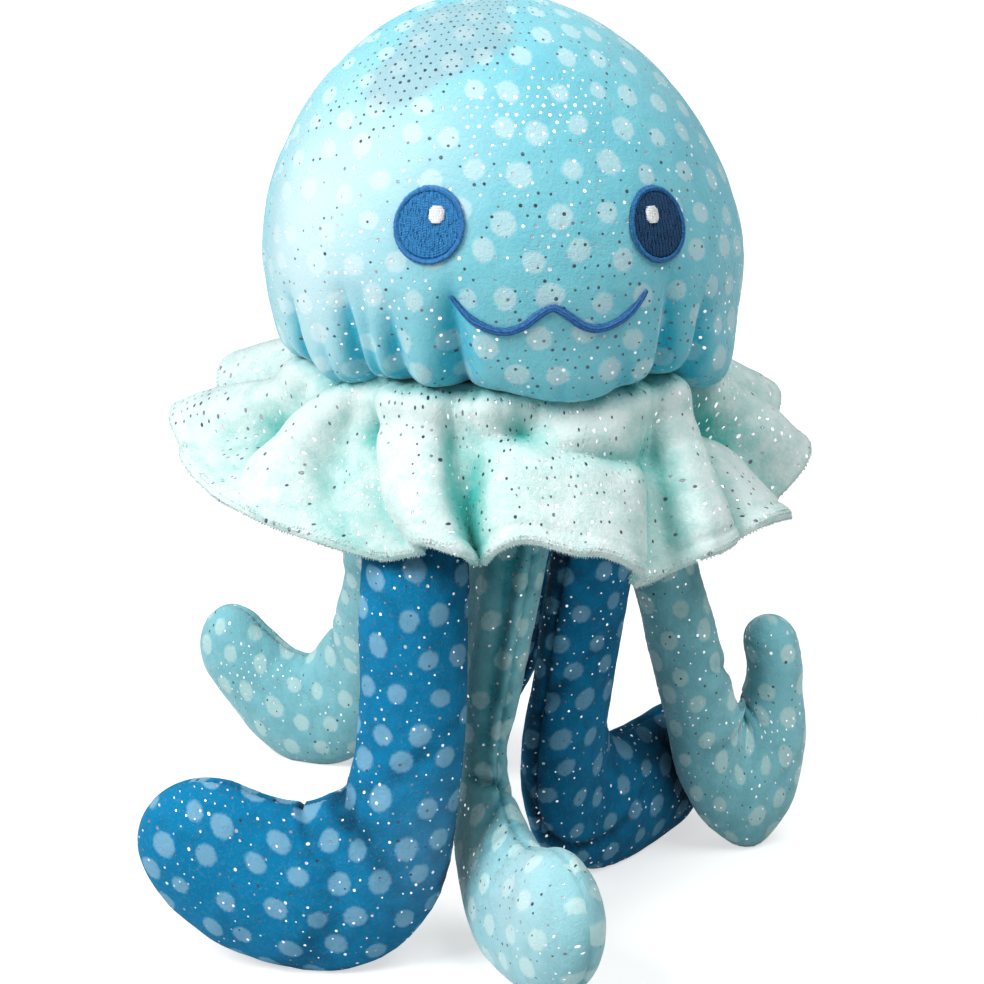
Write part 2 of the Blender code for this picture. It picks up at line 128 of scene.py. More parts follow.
# Painted glare patches: the foil dots get painted glints above 0 and painted dark reflections
# below it, with a painted grey glare veil below -0.5. Painted light patches paint the plush
# paler on its lit side. Each row is x, y and z about the head's axis and reach, all in mm, and
# strength
paintedGlarePatches = [(5.0, -68.0, 184.0, 26, -0.38), (42.0, -52.0, 188.0, 24, -0.38),
            (10.0, -66.0, 212.0, 18, -0.25), (-50.0, -42.0, 196.0, 20, 0.30),
            (-24.0, -14.0, 266.0, 12, -0.75), (-5.0, -13.0, 270.0, 12, -0.75),
            (-38.5, -30.8, 249.2, 13, -0.9), (-26.8, -33.2, 255.6, 14, -0.9),
            (-11.4, -31.5, 262.0, 13, -0.9), (-20.4, -50.1, 243.5, 8, 0.9),
            (-8.5, -51.4, 244.5, 10, 1.0), (6.7, -49.5, 246.0, 10, 0.8),
            (-86.7, 17.2, 154.8, 9, -0.8), (-70.0, 50.0, 154.0, 9, 0.8),
            (-33.1, -53.9, 165.4, 11, -0.45), (-36.2, -70.0, 143.1, 10, 0.25),
            (-45.1, -46.2, 143.0, 6, 0.8), (0.0, -73.0, 147.5, 15, -0.25),
            (56.0, -52.0, 136.0, 10, -0.6), (58.0, -25.0, 152.6, 8, 0.4),
            (80.0, -20.0, 144.8, 8, 0.5), (-64.9, 113.3, 35.0, 9, 0.9), (87.2, 1.7, 39.7, 7, 0.9),
            (-96.9, -44.9, 52.2, 8, 0.5), (-16.7, -74.3, 33.3, 8, 0.5)]
paintedLightPatches = [(-60.0, -30.0, 225.0, 30, 0.42), (-62.0, -28.0, 195.0, 30, 0.45),
             (-35.0, -50.0, 235.0, 22, 0.25), (-14.0, -85.0, 33.0, 22, 0.35)]


def patchShare(points, patches):
    total = np.zeros(len(points))
    for x, y, z, reach, strength in patches:
        away = np.linalg.norm(points - np.array([x, y, z]) * mm, axis=1) / (reach * mm)
        total += strength * np.exp(-away ** 2)
    return np.clip(total, -1, 1)


# Mesh building
def quads(index, uv):
    face = np.stack([index[:-1, :-1], index[:-1, 1:], index[1:, 1:], index[1:, :-1]], axis=-1)
    at = np.stack([uv[:-1, :-1], uv[:-1, 1:], uv[1:, 1:], uv[1:, :-1]], axis=-2)
    return face.reshape(-1, 4).tolist(), at.reshape(-1, 2).tolist()


def fan(ring, tip, uvRing, uvTip):
    faces = []
    at = []
    for i in range(len(ring) - 1):
        faces.append([int(ring[i]), int(ring[i + 1]), int(tip)])
        at += [list(uvRing[i]), list(uvRing[i + 1]), list(uvTip)]
    return faces, at


def makePiece(name, points, parts, material, depth=None):
    # parts are (faces, cloth coordinates of their corners, in metres); depth is the painted shade at
    # each point
    placed = np.array(points) + (axisX, axisY, 0.0)
    faces = sum((p[0] for p in parts), [])
    corners = np.array(sum((p[1] for p in parts), []))
    mesh = bpy.data.meshes.new(name)
    mesh.from_pydata(placed.tolist(), [], faces)
    mesh.uv_layers.new(name="Cloth").data.foreach_set("uv", corners.ravel())
    marks = {"Shimmer": patchShare(np.array(points), paintedGlarePatches),
             "Brushed": patchShare(np.array(points), paintedLightPatches),
             "Depth": np.zeros(len(placed)) if depth is None else np.ravel(depth)}
    for label, values in marks.items():
        mesh.attributes.new(label, "FLOAT", "POINT").data.foreach_set("value", values)
    bm = bmesh.new()
    bm.from_mesh(mesh)
    bmesh.ops.recalc_face_normals(bm, faces=bm.faces[:])
    for face in bm.faces:
        face.smooth = True
    bm.to_mesh(mesh)
    bm.free()
    piece = bpy.data.objects.new(name, mesh)
    bpy.context.scene.collection.objects.link(piece)
    mesh.materials.append(material)
    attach(piece, "root")
    return piece


# Node helpers
def put(tree, kind, inputs=(), **settings):
    made = tree.nodes.new(kind)
    for key, value in settings.items():
        setattr(made, key, value)
    for place, value in enumerate(inputs):
        if isinstance(value, bpy.types.NodeSocket):
            tree.links.new(value, made.inputs[place])
        elif value is not None:
            made.inputs[place].default_value = value
    return made


def maths(tree, operation, *inputs):
    return put(tree, "ShaderNodeMath", inputs, operation=operation).outputs[0]


def mixColour(tree, share, a, b):
    made = put(tree, "ShaderNodeMix", data_type="RGBA")
    for place, value in ((0, share), (6, a), (7, b)):
        if isinstance(value, bpy.types.NodeSocket):
            tree.links.new(value, made.inputs[place])
        else:
            made.inputs[place].default_value = value
    return made.outputs[2]


def noise(tree, where, scale, detail=2.0):
    made = put(tree, "ShaderNodeTexNoise")
    tree.links.new(where, made.inputs["Vector"])
    made.inputs["Scale"].default_value = scale
    made.inputs["Detail"].default_value = detail
    return made


def ramp(tree, value, low, high, start=0.0, end=1.0):
    made = put(tree, "ShaderNodeMapRange", [value, low, high, start, end])
    made.interpolation_type = "SMOOTHSTEP"
    return made.outputs[0]


def lattice(tree, u, v, spacing, offset, stray):
    # Distance to the nearest dot of one half of a staggered pattern, and the dot's own numbers
    across = maths(tree, "ADD", maths(tree, "DIVIDE", u, spacing), offset)
    along = maths(tree, "ADD", maths(tree, "DIVIDE", v, spacing * 1.732), offset)
    cell = put(tree, "ShaderNodeCombineXYZ", [maths(tree, "FLOOR", across),
                                             maths(tree, "FLOOR", along), offset]).outputs[0]
    rolls = put(tree, "ShaderNodeTexWhiteNoise", [cell]).outputs["Color"]
    roll = put(tree, "ShaderNodeSeparateXYZ", [rolls]).outputs
    x = maths(tree, "MULTIPLY", maths(tree, "SUBTRACT", maths(tree, "FRACT", across), 0.5), spacing)
    y = maths(tree, "MULTIPLY", maths(tree, "SUBTRACT", maths(tree, "FRACT", along), 0.5),
              spacing * 1.732)
    x = maths(tree, "MULTIPLY_ADD", maths(tree, "SUBTRACT", roll[0], 0.5), stray, x)
    y = maths(tree, "MULTIPLY_ADD", maths(tree, "SUBTRACT", roll[1], 0.5), stray, y)
    away = maths(tree, "SQRT", maths(tree, "ADD", maths(tree, "MULTIPLY", x, x),
                                     maths(tree, "MULTIPLY", y, y)))
    return away, put(tree, "ShaderNodeTexWhiteNoise", [rolls]).outputs["Color"]


def dots(tree, u, v, spacing, stray):
    # Nearest dot's distance and its own numbers
    near, nearRolls = lattice(tree, u, v, spacing, 0.0, stray)
    other, otherRolls = lattice(tree, u, v, spacing, 0.5, stray)
    pick = maths(tree, "LESS_THAN", other, near)
    rolls = mixColour(tree, pick, nearRolls, otherRolls)
    return maths(tree, "MINIMUM", near, other), put(tree, "ShaderNodeSeparateXYZ", [rolls]).outputs


# Plush: napped pile, printed round dots and small foil dots, all in metres of cloth
plushLook = {
    "dotSpacing": 12.6 * mm,
    "dotStray": 4.4 * mm,
    "dotRadius": 3.1 * mm,
    "foilSpacing": 3.1 * mm,
    "foilStray": 0.9 * mm,
    "foilRadius": 0.27 * mm,
    "foilHidden": 0.62,
    "pileBump": 0.45 * mm,
    # Pale colour for painted light on the plush's lit side
    "paintedLightColour": (0.80, 0.92, 0.94, 1.0),
    # Grey for the painted glare veil
    "paintedGlareVeilColour": (0.30, 0.43, 0.48, 1.0),
    # Painted dark and bright reflections of the foil dots
    "darkFoilReflection": (0.05, 0.06, 0.08, 1.0),
    "brightFoilReflection": (0.95, 0.92, 0.97, 1.0),
}


def addSocket(group, name, kind, way="INPUT"):
    return group.interface.new_socket(name, in_out=way, socket_type=kind)


def shifted(tree, vector, size, where):
    # Moves cloth coordinates by a noise colour
    middle = put(tree, "ShaderNodeVectorMath", [vector, (0.5, 0.5, 0.5)],
                 operation="SUBTRACT").outputs[0]
    return put(tree, "ShaderNodeVectorMath", [middle, (size, size, 0.0), where],
               operation="MULTIPLY_ADD").outputs[0]


def makePlushGroup():
    look = plushLook
    group = bpy.data.node_groups.new("plushPile", "ShaderNodeTree")
    for name in ("Base", "Deep", "Dot"):
        addSocket(group, name, "NodeSocketColor")
    addSocket(group, "Dots", "NodeSocketFloat")
    addSocket(group, "Foil dark", "NodeSocketFloat")
    addSocket(group, "Foil size", "NodeSocketFloat")
    addSocket(group, "Color", "NodeSocketColor", "OUTPUT")
    for name in ("Roughness", "Metallic", "Height"):
        addSocket(group, name, "NodeSocketFloat", "OUTPUT")
    entry = group.nodes.new("NodeGroupInput")
    leave = group.nodes.new("NodeGroupOutput")
    place = put(group, "ShaderNodeTexCoord").outputs["Object"]
    cloth = put(group, "ShaderNodeUVMap", uv_map="Cloth").outputs[0]
    fibre = noise(group, place, 2300.0, 2.0).outputs[0]
    tuft = noise(group, place, 800.0, 3.0).outputs[0]
    nap = noise(group, place, 190.0, 5.0).outputs[0]
    drift = noise(group, place, 28.0, 2.0).outputs[0]
    # The print's edges are broken by the pile, and its rows drift a little
    wander = noise(group, place, 22.0).outputs["Color"]
    fray = noise(group, place, 900.0).outputs["Color"]
    printed = shifted(group, fray, 0.0012, shifted(group, wander, 0.006, cloth))
    split = put(group, "ShaderNodeSeparateXYZ", [printed]).outputs
    dotAway, dotRolls = dots(group, split[0], split[1], look["dotSpacing"], look["dotStray"])
    size = maths(group, "MULTIPLY_ADD", dotRolls[0], 0.9 * mm, look["dotRadius"] - 0.45 * mm)
    dotMask = ramp(group, maths(group, "SUBTRACT", dotAway, size), -0.6 * mm, 0.6 * mm, 1.0, 0.0)
    dotMask = maths(group, "MULTIPLY", dotMask, entry.outputs["Dots"])
    foilSplit = put(group, "ShaderNodeSeparateXYZ", [shifted(group, wander, 0.002, cloth)]).outputs
    foilAway, foilRolls = dots(group, foilSplit[0], foilSplit[1], look["foilSpacing"],
                               look["foilStray"])
    # Painted glare patches: every foil dot shows there, with a painted glint or a painted dark
    # reflection
    glare = put(group, "ShaderNodeAttribute", attribute_name="Shimmer").outputs["Fac"]
    strong = maths(group, "ABSOLUTE", glare)
    shown = maths(group, "GREATER_THAN", maths(group, "MULTIPLY_ADD", strong, 0.75, foilRolls[1]),
                  look["foilHidden"])
    foilSize = maths(group, "MULTIPLY_ADD", maths(group, "POWER", foilRolls[0], 2.0), 0.24 * mm,
                     maths(group, "MULTIPLY", entry.outputs["Foil size"], look["foilRadius"]))
    foilMask = ramp(group, maths(group, "SUBTRACT", foilAway, foilSize), -0.1 * mm, 0.1 * mm,
                    1.0, 0.0)
    foilMask = maths(group, "MULTIPLY", foilMask, shown)
    # Colour: nap brushed both ways, a deeper colour painted as shade in folds, creases and sheltered
    # places, print, foil
    deep = put(group, "ShaderNodeAttribute", attribute_name="Depth").outputs["Fac"]
    brushed = ramp(group, maths(group, "ADD", maths(group, "MULTIPLY", nap, 0.6),
                                maths(group, "MULTIPLY", drift, 0.4)), 0.36, 0.64, -0.14, 0.20)
    speckle = maths(group, "ADD", maths(group, "MULTIPLY_ADD", fibre, 0.35, -0.175),
                    maths(group, "MULTIPLY_ADD", tuft, 0.50, -0.25))
    shade = maths(group, "ADD", maths(group, "ADD", speckle, brushed), deep)
    shade = put(group, "ShaderNodeClamp", [shade]).outputs[0]
    body = mixColour(group, shade, entry.outputs["Base"], entry.outputs["Deep"])
    lit = maths(group, "MULTIPLY_ADD", fibre, 0.5, maths(group, "MULTIPLY", tuft, 0.5))
    body = mixColour(group, ramp(group, lit, 0.48, 0.72, 0.0, 0.22), body, entry.outputs["Dot"])
    # Print dots are weaker where the tone and the painted shade are darker
    weak = maths(group, "MULTIPLY", dotMask, maths(group, "MULTIPLY_ADD", shade, -0.6, 0.9))
    body = mixColour(group, weak, body, entry.outputs["Dot"])
    # Painted light: the plush is painted paler where the key light falls, less so where the painted
    # shade is strong
    paintedLight = put(group, "ShaderNodeAttribute", attribute_name="Brushed").outputs["Fac"]
    paintedLight = maths(group, "MULTIPLY", paintedLight, maths(group, "MULTIPLY_ADD", deep, -0.95, 1.0))
    body = mixColour(group, paintedLight, body, look["paintedLightColour"])
    # Painted glare: a grey veil over the plush where the painted glare patches are strongest
    glareVeil = ramp(group, glare, -0.5, -1.0, 0.0, 0.62)
    body = mixColour(group, glareVeil, body, look["paintedGlareVeilColour"])
    # Foil dot colour is painted reflection: each dot dark or bright at random, darker by the plush's
    # foil darkness, and brighter or darker in the painted glare patches
    light = maths(group, "ADD", maths(group, "SUBTRACT", foilRolls[2], entry.outputs["Foil dark"]),
                  maths(group, "MULTIPLY", glare, 0.8))
    bright = ramp(group, light, 0.15, 0.85)
    metal = mixColour(group, bright, look["darkFoilReflection"], look["brightFoilReflection"])
    group.links.new(mixColour(group, foilMask, body, metal), leave.inputs["Color"])
    group.links.new(maths(group, "MULTIPLY_ADD", foilMask, -0.60, 0.88), leave.inputs["Roughness"])
    group.links.new(foilMask, leave.inputs["Metallic"])
    pile = maths(group, "ADD", maths(group, "MULTIPLY", fibre, 0.45),
                 maths(group, "MULTIPLY", nap, 0.8))
    pile = maths(group, "ADD", pile, maths(group, "MULTIPLY", tuft, 0.7))
    pile = maths(group, "MULTIPLY", pile, maths(group, "MULTIPLY_ADD", foilMask, -0.4, 1.0))
    group.links.new(pile, leave.inputs["Height"])
    return group


plushGroup = makePlushGroup()


def makePlush(name, base, deep, dot, dotShare, foilDark, foilSize, sheen, gloss):
    material = bpy.data.materials.new(name)
    material.use_nodes = True
    tree = material.node_tree
    shader = tree.nodes["Principled BSDF"]
    pile = tree.nodes.new("ShaderNodeGroup")
    pile.node_tree = plushGroup
    for key, value in (("Base", base), ("Deep", deep), ("Dot", dot)):
        pile.inputs[key].default_value = (*value, 1.0)
    pile.inputs["Dots"].default_value = dotShare
    pile.inputs["Foil dark"].default_value = foilDark
    pile.inputs["Foil size"].default_value = foilSize
    bump = tree.nodes.new("ShaderNodeBump")
    bump.inputs["Strength"].default_value = 0.8
    bump.inputs["Distance"].default_value = plushLook["pileBump"]
    tree.links.new(pile.outputs["Height"], bump.inputs["Height"])
    tree.links.new(bump.outputs[0], shader.inputs["Normal"])
    for key, socket in (("Color", "Base Color"), ("Roughness", "Roughness"),
                        ("Metallic", "Metallic")):
        tree.links.new(pile.outputs[key], shader.inputs[socket])
    shader.inputs["Specular IOR Level"].default_value = gloss
    shader.inputs["Sheen Weight"].default_value = sheen
    shader.inputs["Sheen Roughness"].default_value = 0.5
    shader.inputs["Sheen Tint"].default_value = (*[0.5 + 0.5 * c for c in dot], 1.0)
    return material


# Plushes: base colour, a deeper colour for random tone and painted shade, print colour, print share,
# foil darkness for the painted foil reflections, foil size, sheen and gloss
plushes = {
    "head": makePlush("headPlushLook", (0.17, 0.57, 0.67), (0.0, 0.40, 0.55),
                      (0.46, 0.71, 0.76), 1.0, 0.05, 1.1, 0.55, 0.4),
    "ruffle": makePlush("rufflePlushLook", (0.73, 0.87, 0.85), (0.02, 0.47, 0.43),
                        (0.78, 0.90, 0.88), 0.0, -0.05, 1.3, 0.5, 0.2),
    # The hem pile is a paler copy of the ruffle plush: painted light that keeps its tufts pale in
    # the shade under the hem
    "hem": makePlush("hemPileLook", (0.80, 0.95, 0.93), (0.55, 0.85, 0.80),
                     (0.80, 0.95, 0.93), 0.0, 2.0, 0.0, 0.3, 0.1),
    "blue": makePlush("bluePlushLook", (0.002, 0.21, 0.43), (0.0003, 0.026, 0.062),
                      (0.20, 0.44, 0.62), 1.0, -0.10, 0.9, 0.05, 0.1),
    "aqua": makePlush("aquaPlushLook", (0.24, 0.62, 0.70), (0.003, 0.20, 0.26),
                      (0.55, 0.82, 0.82), 1.0, 0.05, 1.0, 0.6, 0.3),
}
print("plush materials made")


# Head: a stuffed dome from a front and a back panel, gathered into the neck seam
headShape = {
    "radius": 70.0 * mm,
    "widestZ": 197.0 * mm,
    "topZ": 272.5 * mm,
    "roundness": 1.86,
    "lean": 3.0 * mm,
    "neckZ": 170.0 * mm,
    "neckRadius": 54.0 * mm,
    "rows": 150,
    "columns": 360,
    "lumps": 0.45 * mm,
    "seamDepth": 0.9 * mm,
    "seamWidth": 0.9 * mm,
}
gathers = [(-23.5, 6.5, 4.0, 36), (29.5, 5.5, 3.0, 36), (-38.5, 4.6, 2.6, 28),
           (-51.0, 5.0, 2.8, 32), (41.5, 4.2, 2.8, 28), (73.5, 3.5, 4.0, 22),
           (-71.5, 5.0, 2.6, 28), (-60.5, 1.8, 2.2, 18), (-45.5, 2.2, 1.8, 34), (17, 1.2, 3.0, 14)]
gathers += [(a, 3.2, 4.5, 24) for a in (-146.5, -122.5, -98.5, 97.5, 121.5, 145.5, 173.5)]
pockets = [(5, 17, 5.0, 1.5), (57, 13, 8.5, 2.5), (84, 8, 2.0, 3.0), (-31, 7, 1.0, 1.0),
           (-62, 10, 4.0, 1.0), (-88, 9, 1.0, 1.5)]
pockets += [(a, 10, 0.5, 1.0) for a in (-112, 110, 134, 160, -170, -134)]


def headProfile():
    # Radius and height, neck seam to crown
    h = headShape
    rows = [(h["neckRadius"], h["neckZ"])]
    for share, rise in ((0.875, 1.2), (0.938, 4.5), (0.972, 10.0), (0.991, 18.0)):
        rows.append((h["radius"] * share, h["neckZ"] + rise * mm))
    power = 2.0 / h["roundness"]
    for a in np.linspace(0, pi / 2, 40):
        rise = (h["topZ"] - h["widestZ"]) * np.sin(a) ** power
        rows.append((h["radius"] * np.cos(a) ** power, h["widestZ"] + rise))
    line = catmull(rows, 8)
    lengths = lengthsAlong(line)
    return resample(line, lengths, np.linspace(0, lengths[-1] - 0.4 * mm, h["rows"]))


def gatherDepth(azimuth, z):
    total = np.zeros(np.broadcast(azimuth, z).shape)
    for middle, deep, width, height in gathers:
        away = turnBetween(azimuth, middle) / width
        fade = 1.0 - smoothStep((z - headShape["neckZ"]) / (height * mm))
        crease = 0.9 * np.exp(-away ** 2) + 0.55 * np.exp(-np.abs(away) * 3.2)
        total += deep * mm * fade ** 0.8 * crease
    return total


def creaseShade(azimuth, z):
    # Painted shade in and beside a gather: how far the plush there shows its deeper colour
    total = np.zeros(np.broadcast(azimuth, z).shape)
    for middle, deep, width, height in gathers:
        away = turnBetween(azimuth, middle) / (width * 1.25)
        fade = 1.0 - smoothStep((z - headShape["neckZ"]) / (height * mm))
        total += min(deep / 4.0, 1.2) * fade ** 0.6 * np.exp(-away ** 2)
    return total


def puckers(azimuth, z):
    # Small pleats where the neck seam draws the plush in
    rng = np.random.default_rng(5)
    total = np.zeros(np.broadcast(azimuth, z).shape)
    for middle in np.arange(-180, 180, 7.2):
        spot = middle + rng.uniform(-2.2, 2.2)
        height = rng.uniform(6, 15) * mm
        away = turnBetween(azimuth, spot + (z - 0.17) * rng.uniform(-120, 120)) / 1.5
        fade = 1.0 - smoothStep((z - headShape["neckZ"]) / height)
        total += rng.uniform(0.4, 1.3) * mm * fade * np.exp(-away ** 2)
    return total


def pocketMoves(azimuth, z):
    near = 1.0 - smoothStep((z - headShape["neckZ"]) / (14.0 * mm))
    drop = np.zeros(near.shape)
    swell = np.zeros(near.shape)
    for middle, width, deep, out in pockets:
        share = near * np.exp(-(turnBetween(azimuth, middle) / width) ** 2)
        drop = drop + deep * mm * share
        swell = swell + out * mm * share
    return drop, swell


def seamDip(azimuth, radius, z):
    # Side seams run over the dome; a dart runs from the crown down the front and the back
    h = headShape
    depth = np.zeros(np.broadcast(azimuth, z).shape)
    for middle, low in ((-90, 0.15), (90, 0.15), (0, 0.262), (180, 0.262)):
        away = radians(1.0) * turnBetween(azimuth, middle) * np.maximum(radius, 2 * mm)
        fade = smoothStep((z - low) / (6 * mm))
        stitches = 1.0 + 0.25 * np.sin(z / (2.6 * mm) * 2 * pi)
        depth = depth + fade * (h["seamDepth"] * np.exp(-(away / h["seamWidth"]) ** 2) * stitches
                                - 0.25 * mm * np.exp(-((np.abs(away) - 3 * mm) / (2 * mm)) ** 2))
    return depth


def headPoints():
    h = headShape
    profile = headProfile()
    azimuth = -90.0 + 360.0 * np.arange(h["columns"]) / h["columns"]
    radius = profile[:, :1] + np.zeros((1, len(azimuth)))
    z = profile[:, 1:] + np.zeros((1, len(azimuth)))
    azimuth = azimuth[None, :] + np.zeros_like(z)
    drop, swell = pocketMoves(azimuth, z)
    onSeam = smoothStep(np.arange(h["rows"]) / 3.0)[:, None]
    dip = gatherDepth(azimuth, z) * (0.6 + 0.4 * onSeam)
    dip += puckers(azimuth, z) * (0.5 + 0.5 * onSeam)
    r = radius - dip + swell * onSeam - seamDip(azimuth, radius, z)
    points = polar(r, azimuth, z - drop * onSeam)
    fade = smoothStep((z - 0.172) / (12 * mm)) * smoothStep(radius / (20 * mm))
    lump = waves(points, 30 * mm, 3) * h["lumps"] + waves(points, 9 * mm, 4) * 0.12 * mm
    points += gridNormals(points, True) * (lump * fade)[..., None]
    rise = (points[..., 2] - h["widestZ"]) / (h["topZ"] - h["widestZ"])
    points[..., 0] -= h["lean"] * rise
    # The second value is painted shade in the gathers
    return points, np.clip(np.maximum(creaseShade(azimuth, z), dip / (3.0 * mm)), 0, 1)


def relaxFlat(flat, solid, rounds):
    # Lays a curved panel flat with as little stretch as it allows
    ways = ((0, 1), (1, 0), (1, 1), (1, -1))
    for _ in range(rounds):
        move = np.zeros_like(flat)
        for down, right in ways:
            rowsA = slice(0, flat.shape[0] - down)
            rowsB = slice(down, flat.shape[0])
            colsA = slice(max(-right, 0), flat.shape[1] - max(right, 0))
            colsB = slice(max(right, 0), flat.shape[1] - max(-right, 0))
            want = np.linalg.norm(solid[rowsB, colsB] - solid[rowsA, colsA], axis=-1)
            gap = flat[rowsB, colsB] - flat[rowsA, colsA]
            size = np.maximum(np.linalg.norm(gap, axis=-1), 1e-9)
            push = gap * ((size - want) / size / 2)[..., None]
            move[rowsA, colsA] += push
            move[rowsB, colsB] -= push
        flat = flat + move * 0.24
    return flat


def panelCloth(points, azimuth, middle):
    # Cloth coordinates of one head panel: a first guess about its middle, then relaxed
    rows, columns = points.shape[:2]
    pickRows = np.unique(np.linspace(0, rows - 1, 34).astype(int))
    pickColumns = np.unique(np.linspace(0, columns - 1, 46).astype(int))
    coarse = points[np.ix_(pickRows, pickColumns)]
    up = np.linspace(-28, 90, rows)[pickRows][:, None] * pi / 180
    side = np.radians(turnBetween(azimuth[pickColumns], middle))[None, :]
    cosAway = np.clip(np.cos(up) * np.cos(side), -1, 1)
    away = np.arccos(cosAway)
    spread = headShape["radius"] * away / np.maximum(np.sin(away), 1e-6)
    guess = np.stack([spread * np.cos(up) * np.sin(side), spread * np.sin(up) + 0 * side], axis=-1)
    flat = relaxFlat(guess, coarse, 500)
    wide = np.stack([[np.interp(np.arange(columns), pickColumns, row[:, k]) for k in (0, 1)]
                     for row in flat])
    fine = [np.stack([np.interp(np.arange(rows), pickRows, wide[:, k, c])
                      for c in range(columns)], axis=-1) for k in (0, 1)]
    return np.stack(fine, axis=-1)


def makeHead():
    points, depth = headPoints()
    rows, columns = points.shape[:2]
    index = np.arange(rows * columns).reshape(rows, columns)
    index = np.concatenate([index, index[:, :1]], axis=1)
    wrapped = np.concatenate([points, points[:, :1]], axis=1)
    azimuth = -90.0 + 360.0 * np.arange(columns + 1) / columns
    half = columns // 2
    frontCloth = panelCloth(wrapped[:, :half + 1], azimuth[:half + 1], 0.0)
    backCloth = panelCloth(wrapped[:, half:], azimuth[half:], 180.0) + (0.5, 0.0)
    parts = [quads(index[:, :half + 1], frontCloth), quads(index[:, half:], backCloth)]
    crown = rows * columns
    neck = crown + 1
    parts.append(fan(index[-1, :half + 1], crown, frontCloth[-1], frontCloth[-1, half // 2]))
    parts.append(fan(index[-1, half:], crown, backCloth[-1], backCloth[-1, half // 2]))
    parts.append(fan(index[0], neck, np.zeros((columns + 1, 2)), (0, 0)))
    top = points[-1].mean(axis=0) + (0, 0, 0.1 * mm)
    bottom = points[0].mean(axis=0)
    flat = np.vstack([points.reshape(-1, 3), top, bottom])
    # The neck's middle point gets half painted shade
    head = makePiece("headPlush", flat, parts, plushes["head"],
                     np.concatenate([depth.ravel(), [0, 0.5]]))
    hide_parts("head")
    return head


headPiece = makeHead()
print("head made", len(headPiece.data.polygons))


# Ruffle: one gathered strip, hemmed, that hangs in folds from the neck seam
ruffleShape = {
    "innerRadius": 47.0 * mm,
    "flange": 2.4 * mm,
    "thickness": 3.2 * mm,
    "valley": 6.0 * mm,
    "columns": 660,
    "rows": 50,
    "overhang": 2.4,
    "puff": 6.0 * mm,
    "clothLength": 0.66,
    "hemLine": 5.0 * mm,
}
skirtRows = [(-180, 28, 50), (-138, 24, 50), (-110, 32, 51), (-75, 50, 50), (-55, 61, 49),
             (-40, 62, 49), (-29, 62, 46), (-18, 62, 49), (-8, 63, 45), (4, 64, 49), (20, 67, 57),
             (34, 64, 54), (45, 60, 52), (64, 61, 55), (84, 47, 50), (109, 35, 49), (140, 28, 50),
             (180, 28, 50)]
# Folds: azimuth, half width in degrees and height in mm, each at the seam, halfway and at the
# hem, and how flat the fold's top is
folds = [(-78, -97, -108, 7, 8, 10, 4, 8, 7, 3), (-76, -88, -80, 4, 4, 22, -8, -6, 7, 4),
         (-55, -68, -60, 5, 7, 13, 7, 10, 7, 3), (-37, -34, -23, 11, 8, 6, 8, 10, 10, 5),
         (4, 2, 1, 25, 22, 16, 8, 9, 10, 8), (42, 37, 36, 7, 5, 6, 8, 10, 6, 4),
         (56, 56, 54, 6, 8, 14, -9, 0, 9, 4), (70, 78, 84, 9, 8, 9, 6, 8, 7, 4),
         (104, 106, 108, 7, 8, 8, 7, 8, 8, 3), (130, 131, 132, 7, 8, 8, 7, 9, 9, 3),
         (156, 155, 154, 7, 8, 8, 7, 8, 8, 3), (180, 180.5, 181, 7, 8, 8, 7, 9, 9, 3),
         (-156, -155, -154, 7, 8, 8, 7, 8, 8, 3), (-132, -133, -134, 7, 8, 8, 7, 8, 8, 3)]
# Pits pressed into the folds: azimuth, place from seam to hem, half width in degrees, half
# length as a share of the slope, depth in mm
pits = [(-7, 0.28, 6.5, 0.11, 6.5), (15, 0.40, 15, 0.07, 4.5), (-48, 0.24, 4.5, 0.11, 6),
        (57, 0.34, 8, 0.10, 7), (66, 0.43, 6, 0.09, 5.5), (72, 0.53, 4.5, 0.09, 4.5),
        (-80, 0.50, 8, 0.13, 7), (-18, 0.55, 3.5, 0.25, 5)]


def skirtAt(azimuth):
    turned = turnBetween(azimuth, 0.0)
    droop = np.zeros_like(turned)
    slant = np.zeros_like(turned)
    for (a, droopA, slantA), (b, droopB, slantB) in zip(skirtRows, skirtRows[1:]):
        here = (turned >= a) & (turned <= b)
        blend = smoothStep((turned - a) / (b - a))
        droop = np.where(here, droopA + (droopB - droopA) * blend, droop)
        slant = np.where(here, slantA + (slantB - slantA) * blend, slant)
    return np.radians(droop), slant * mm


def along3(seam, middle, hem, share):
    # Smooth through a value at the seam, halfway and at the hem
    return seam + (4 * middle - 3 * seam - hem) * share + 2 * (seam - 2 * middle + hem) * share ** 2


def seamPuff(azimuth, share):
    # The gathered cloth swells up against the head where no pocket hangs over the seam
    room = np.zeros(np.broadcast(azimuth, share).shape)
    for middle, width, deep, _ in pockets:
        room += deep / 5.0 * np.exp(-(turnBetween(azimuth, middle) / width) ** 2)
    near = np.exp(-((share - 0.13) / 0.10) ** 2) * smoothStep(share / 0.06)
    return ruffleShape["puff"] * near * np.clip(1.0 - room, 0.15, 1.0)


def foldHeight(azimuth, share):
    valley = ruffleShape["valley"]
    total = np.zeros(np.broadcast(azimuth, share).shape)
    for az0, az1, az2, w0, w1, w2, h0, h1, h2, power in folds:
        width = np.maximum(along3(w0, w1, w2, share), 2.0)
        away = np.abs(turnBetween(azimuth, along3(az0, az1, az2, share))) / width
        height = np.maximum(along3(h0, h1, h2, share) * mm + valley, 0.0)
        total += (height * np.exp(-away ** power)) ** 3
    lift = total ** (1 / 3) - valley
    dent = np.zeros_like(lift)
    for middle, place, width, length, deep in pits:
        away = (turnBetween(azimuth, middle) / width) ** 2 + ((share - place) / length) ** 2
        dent += deep * mm * np.exp(-away)
    return lift * (0.1 + 0.9 * share ** 0.7) + seamPuff(azimuth, share), dent


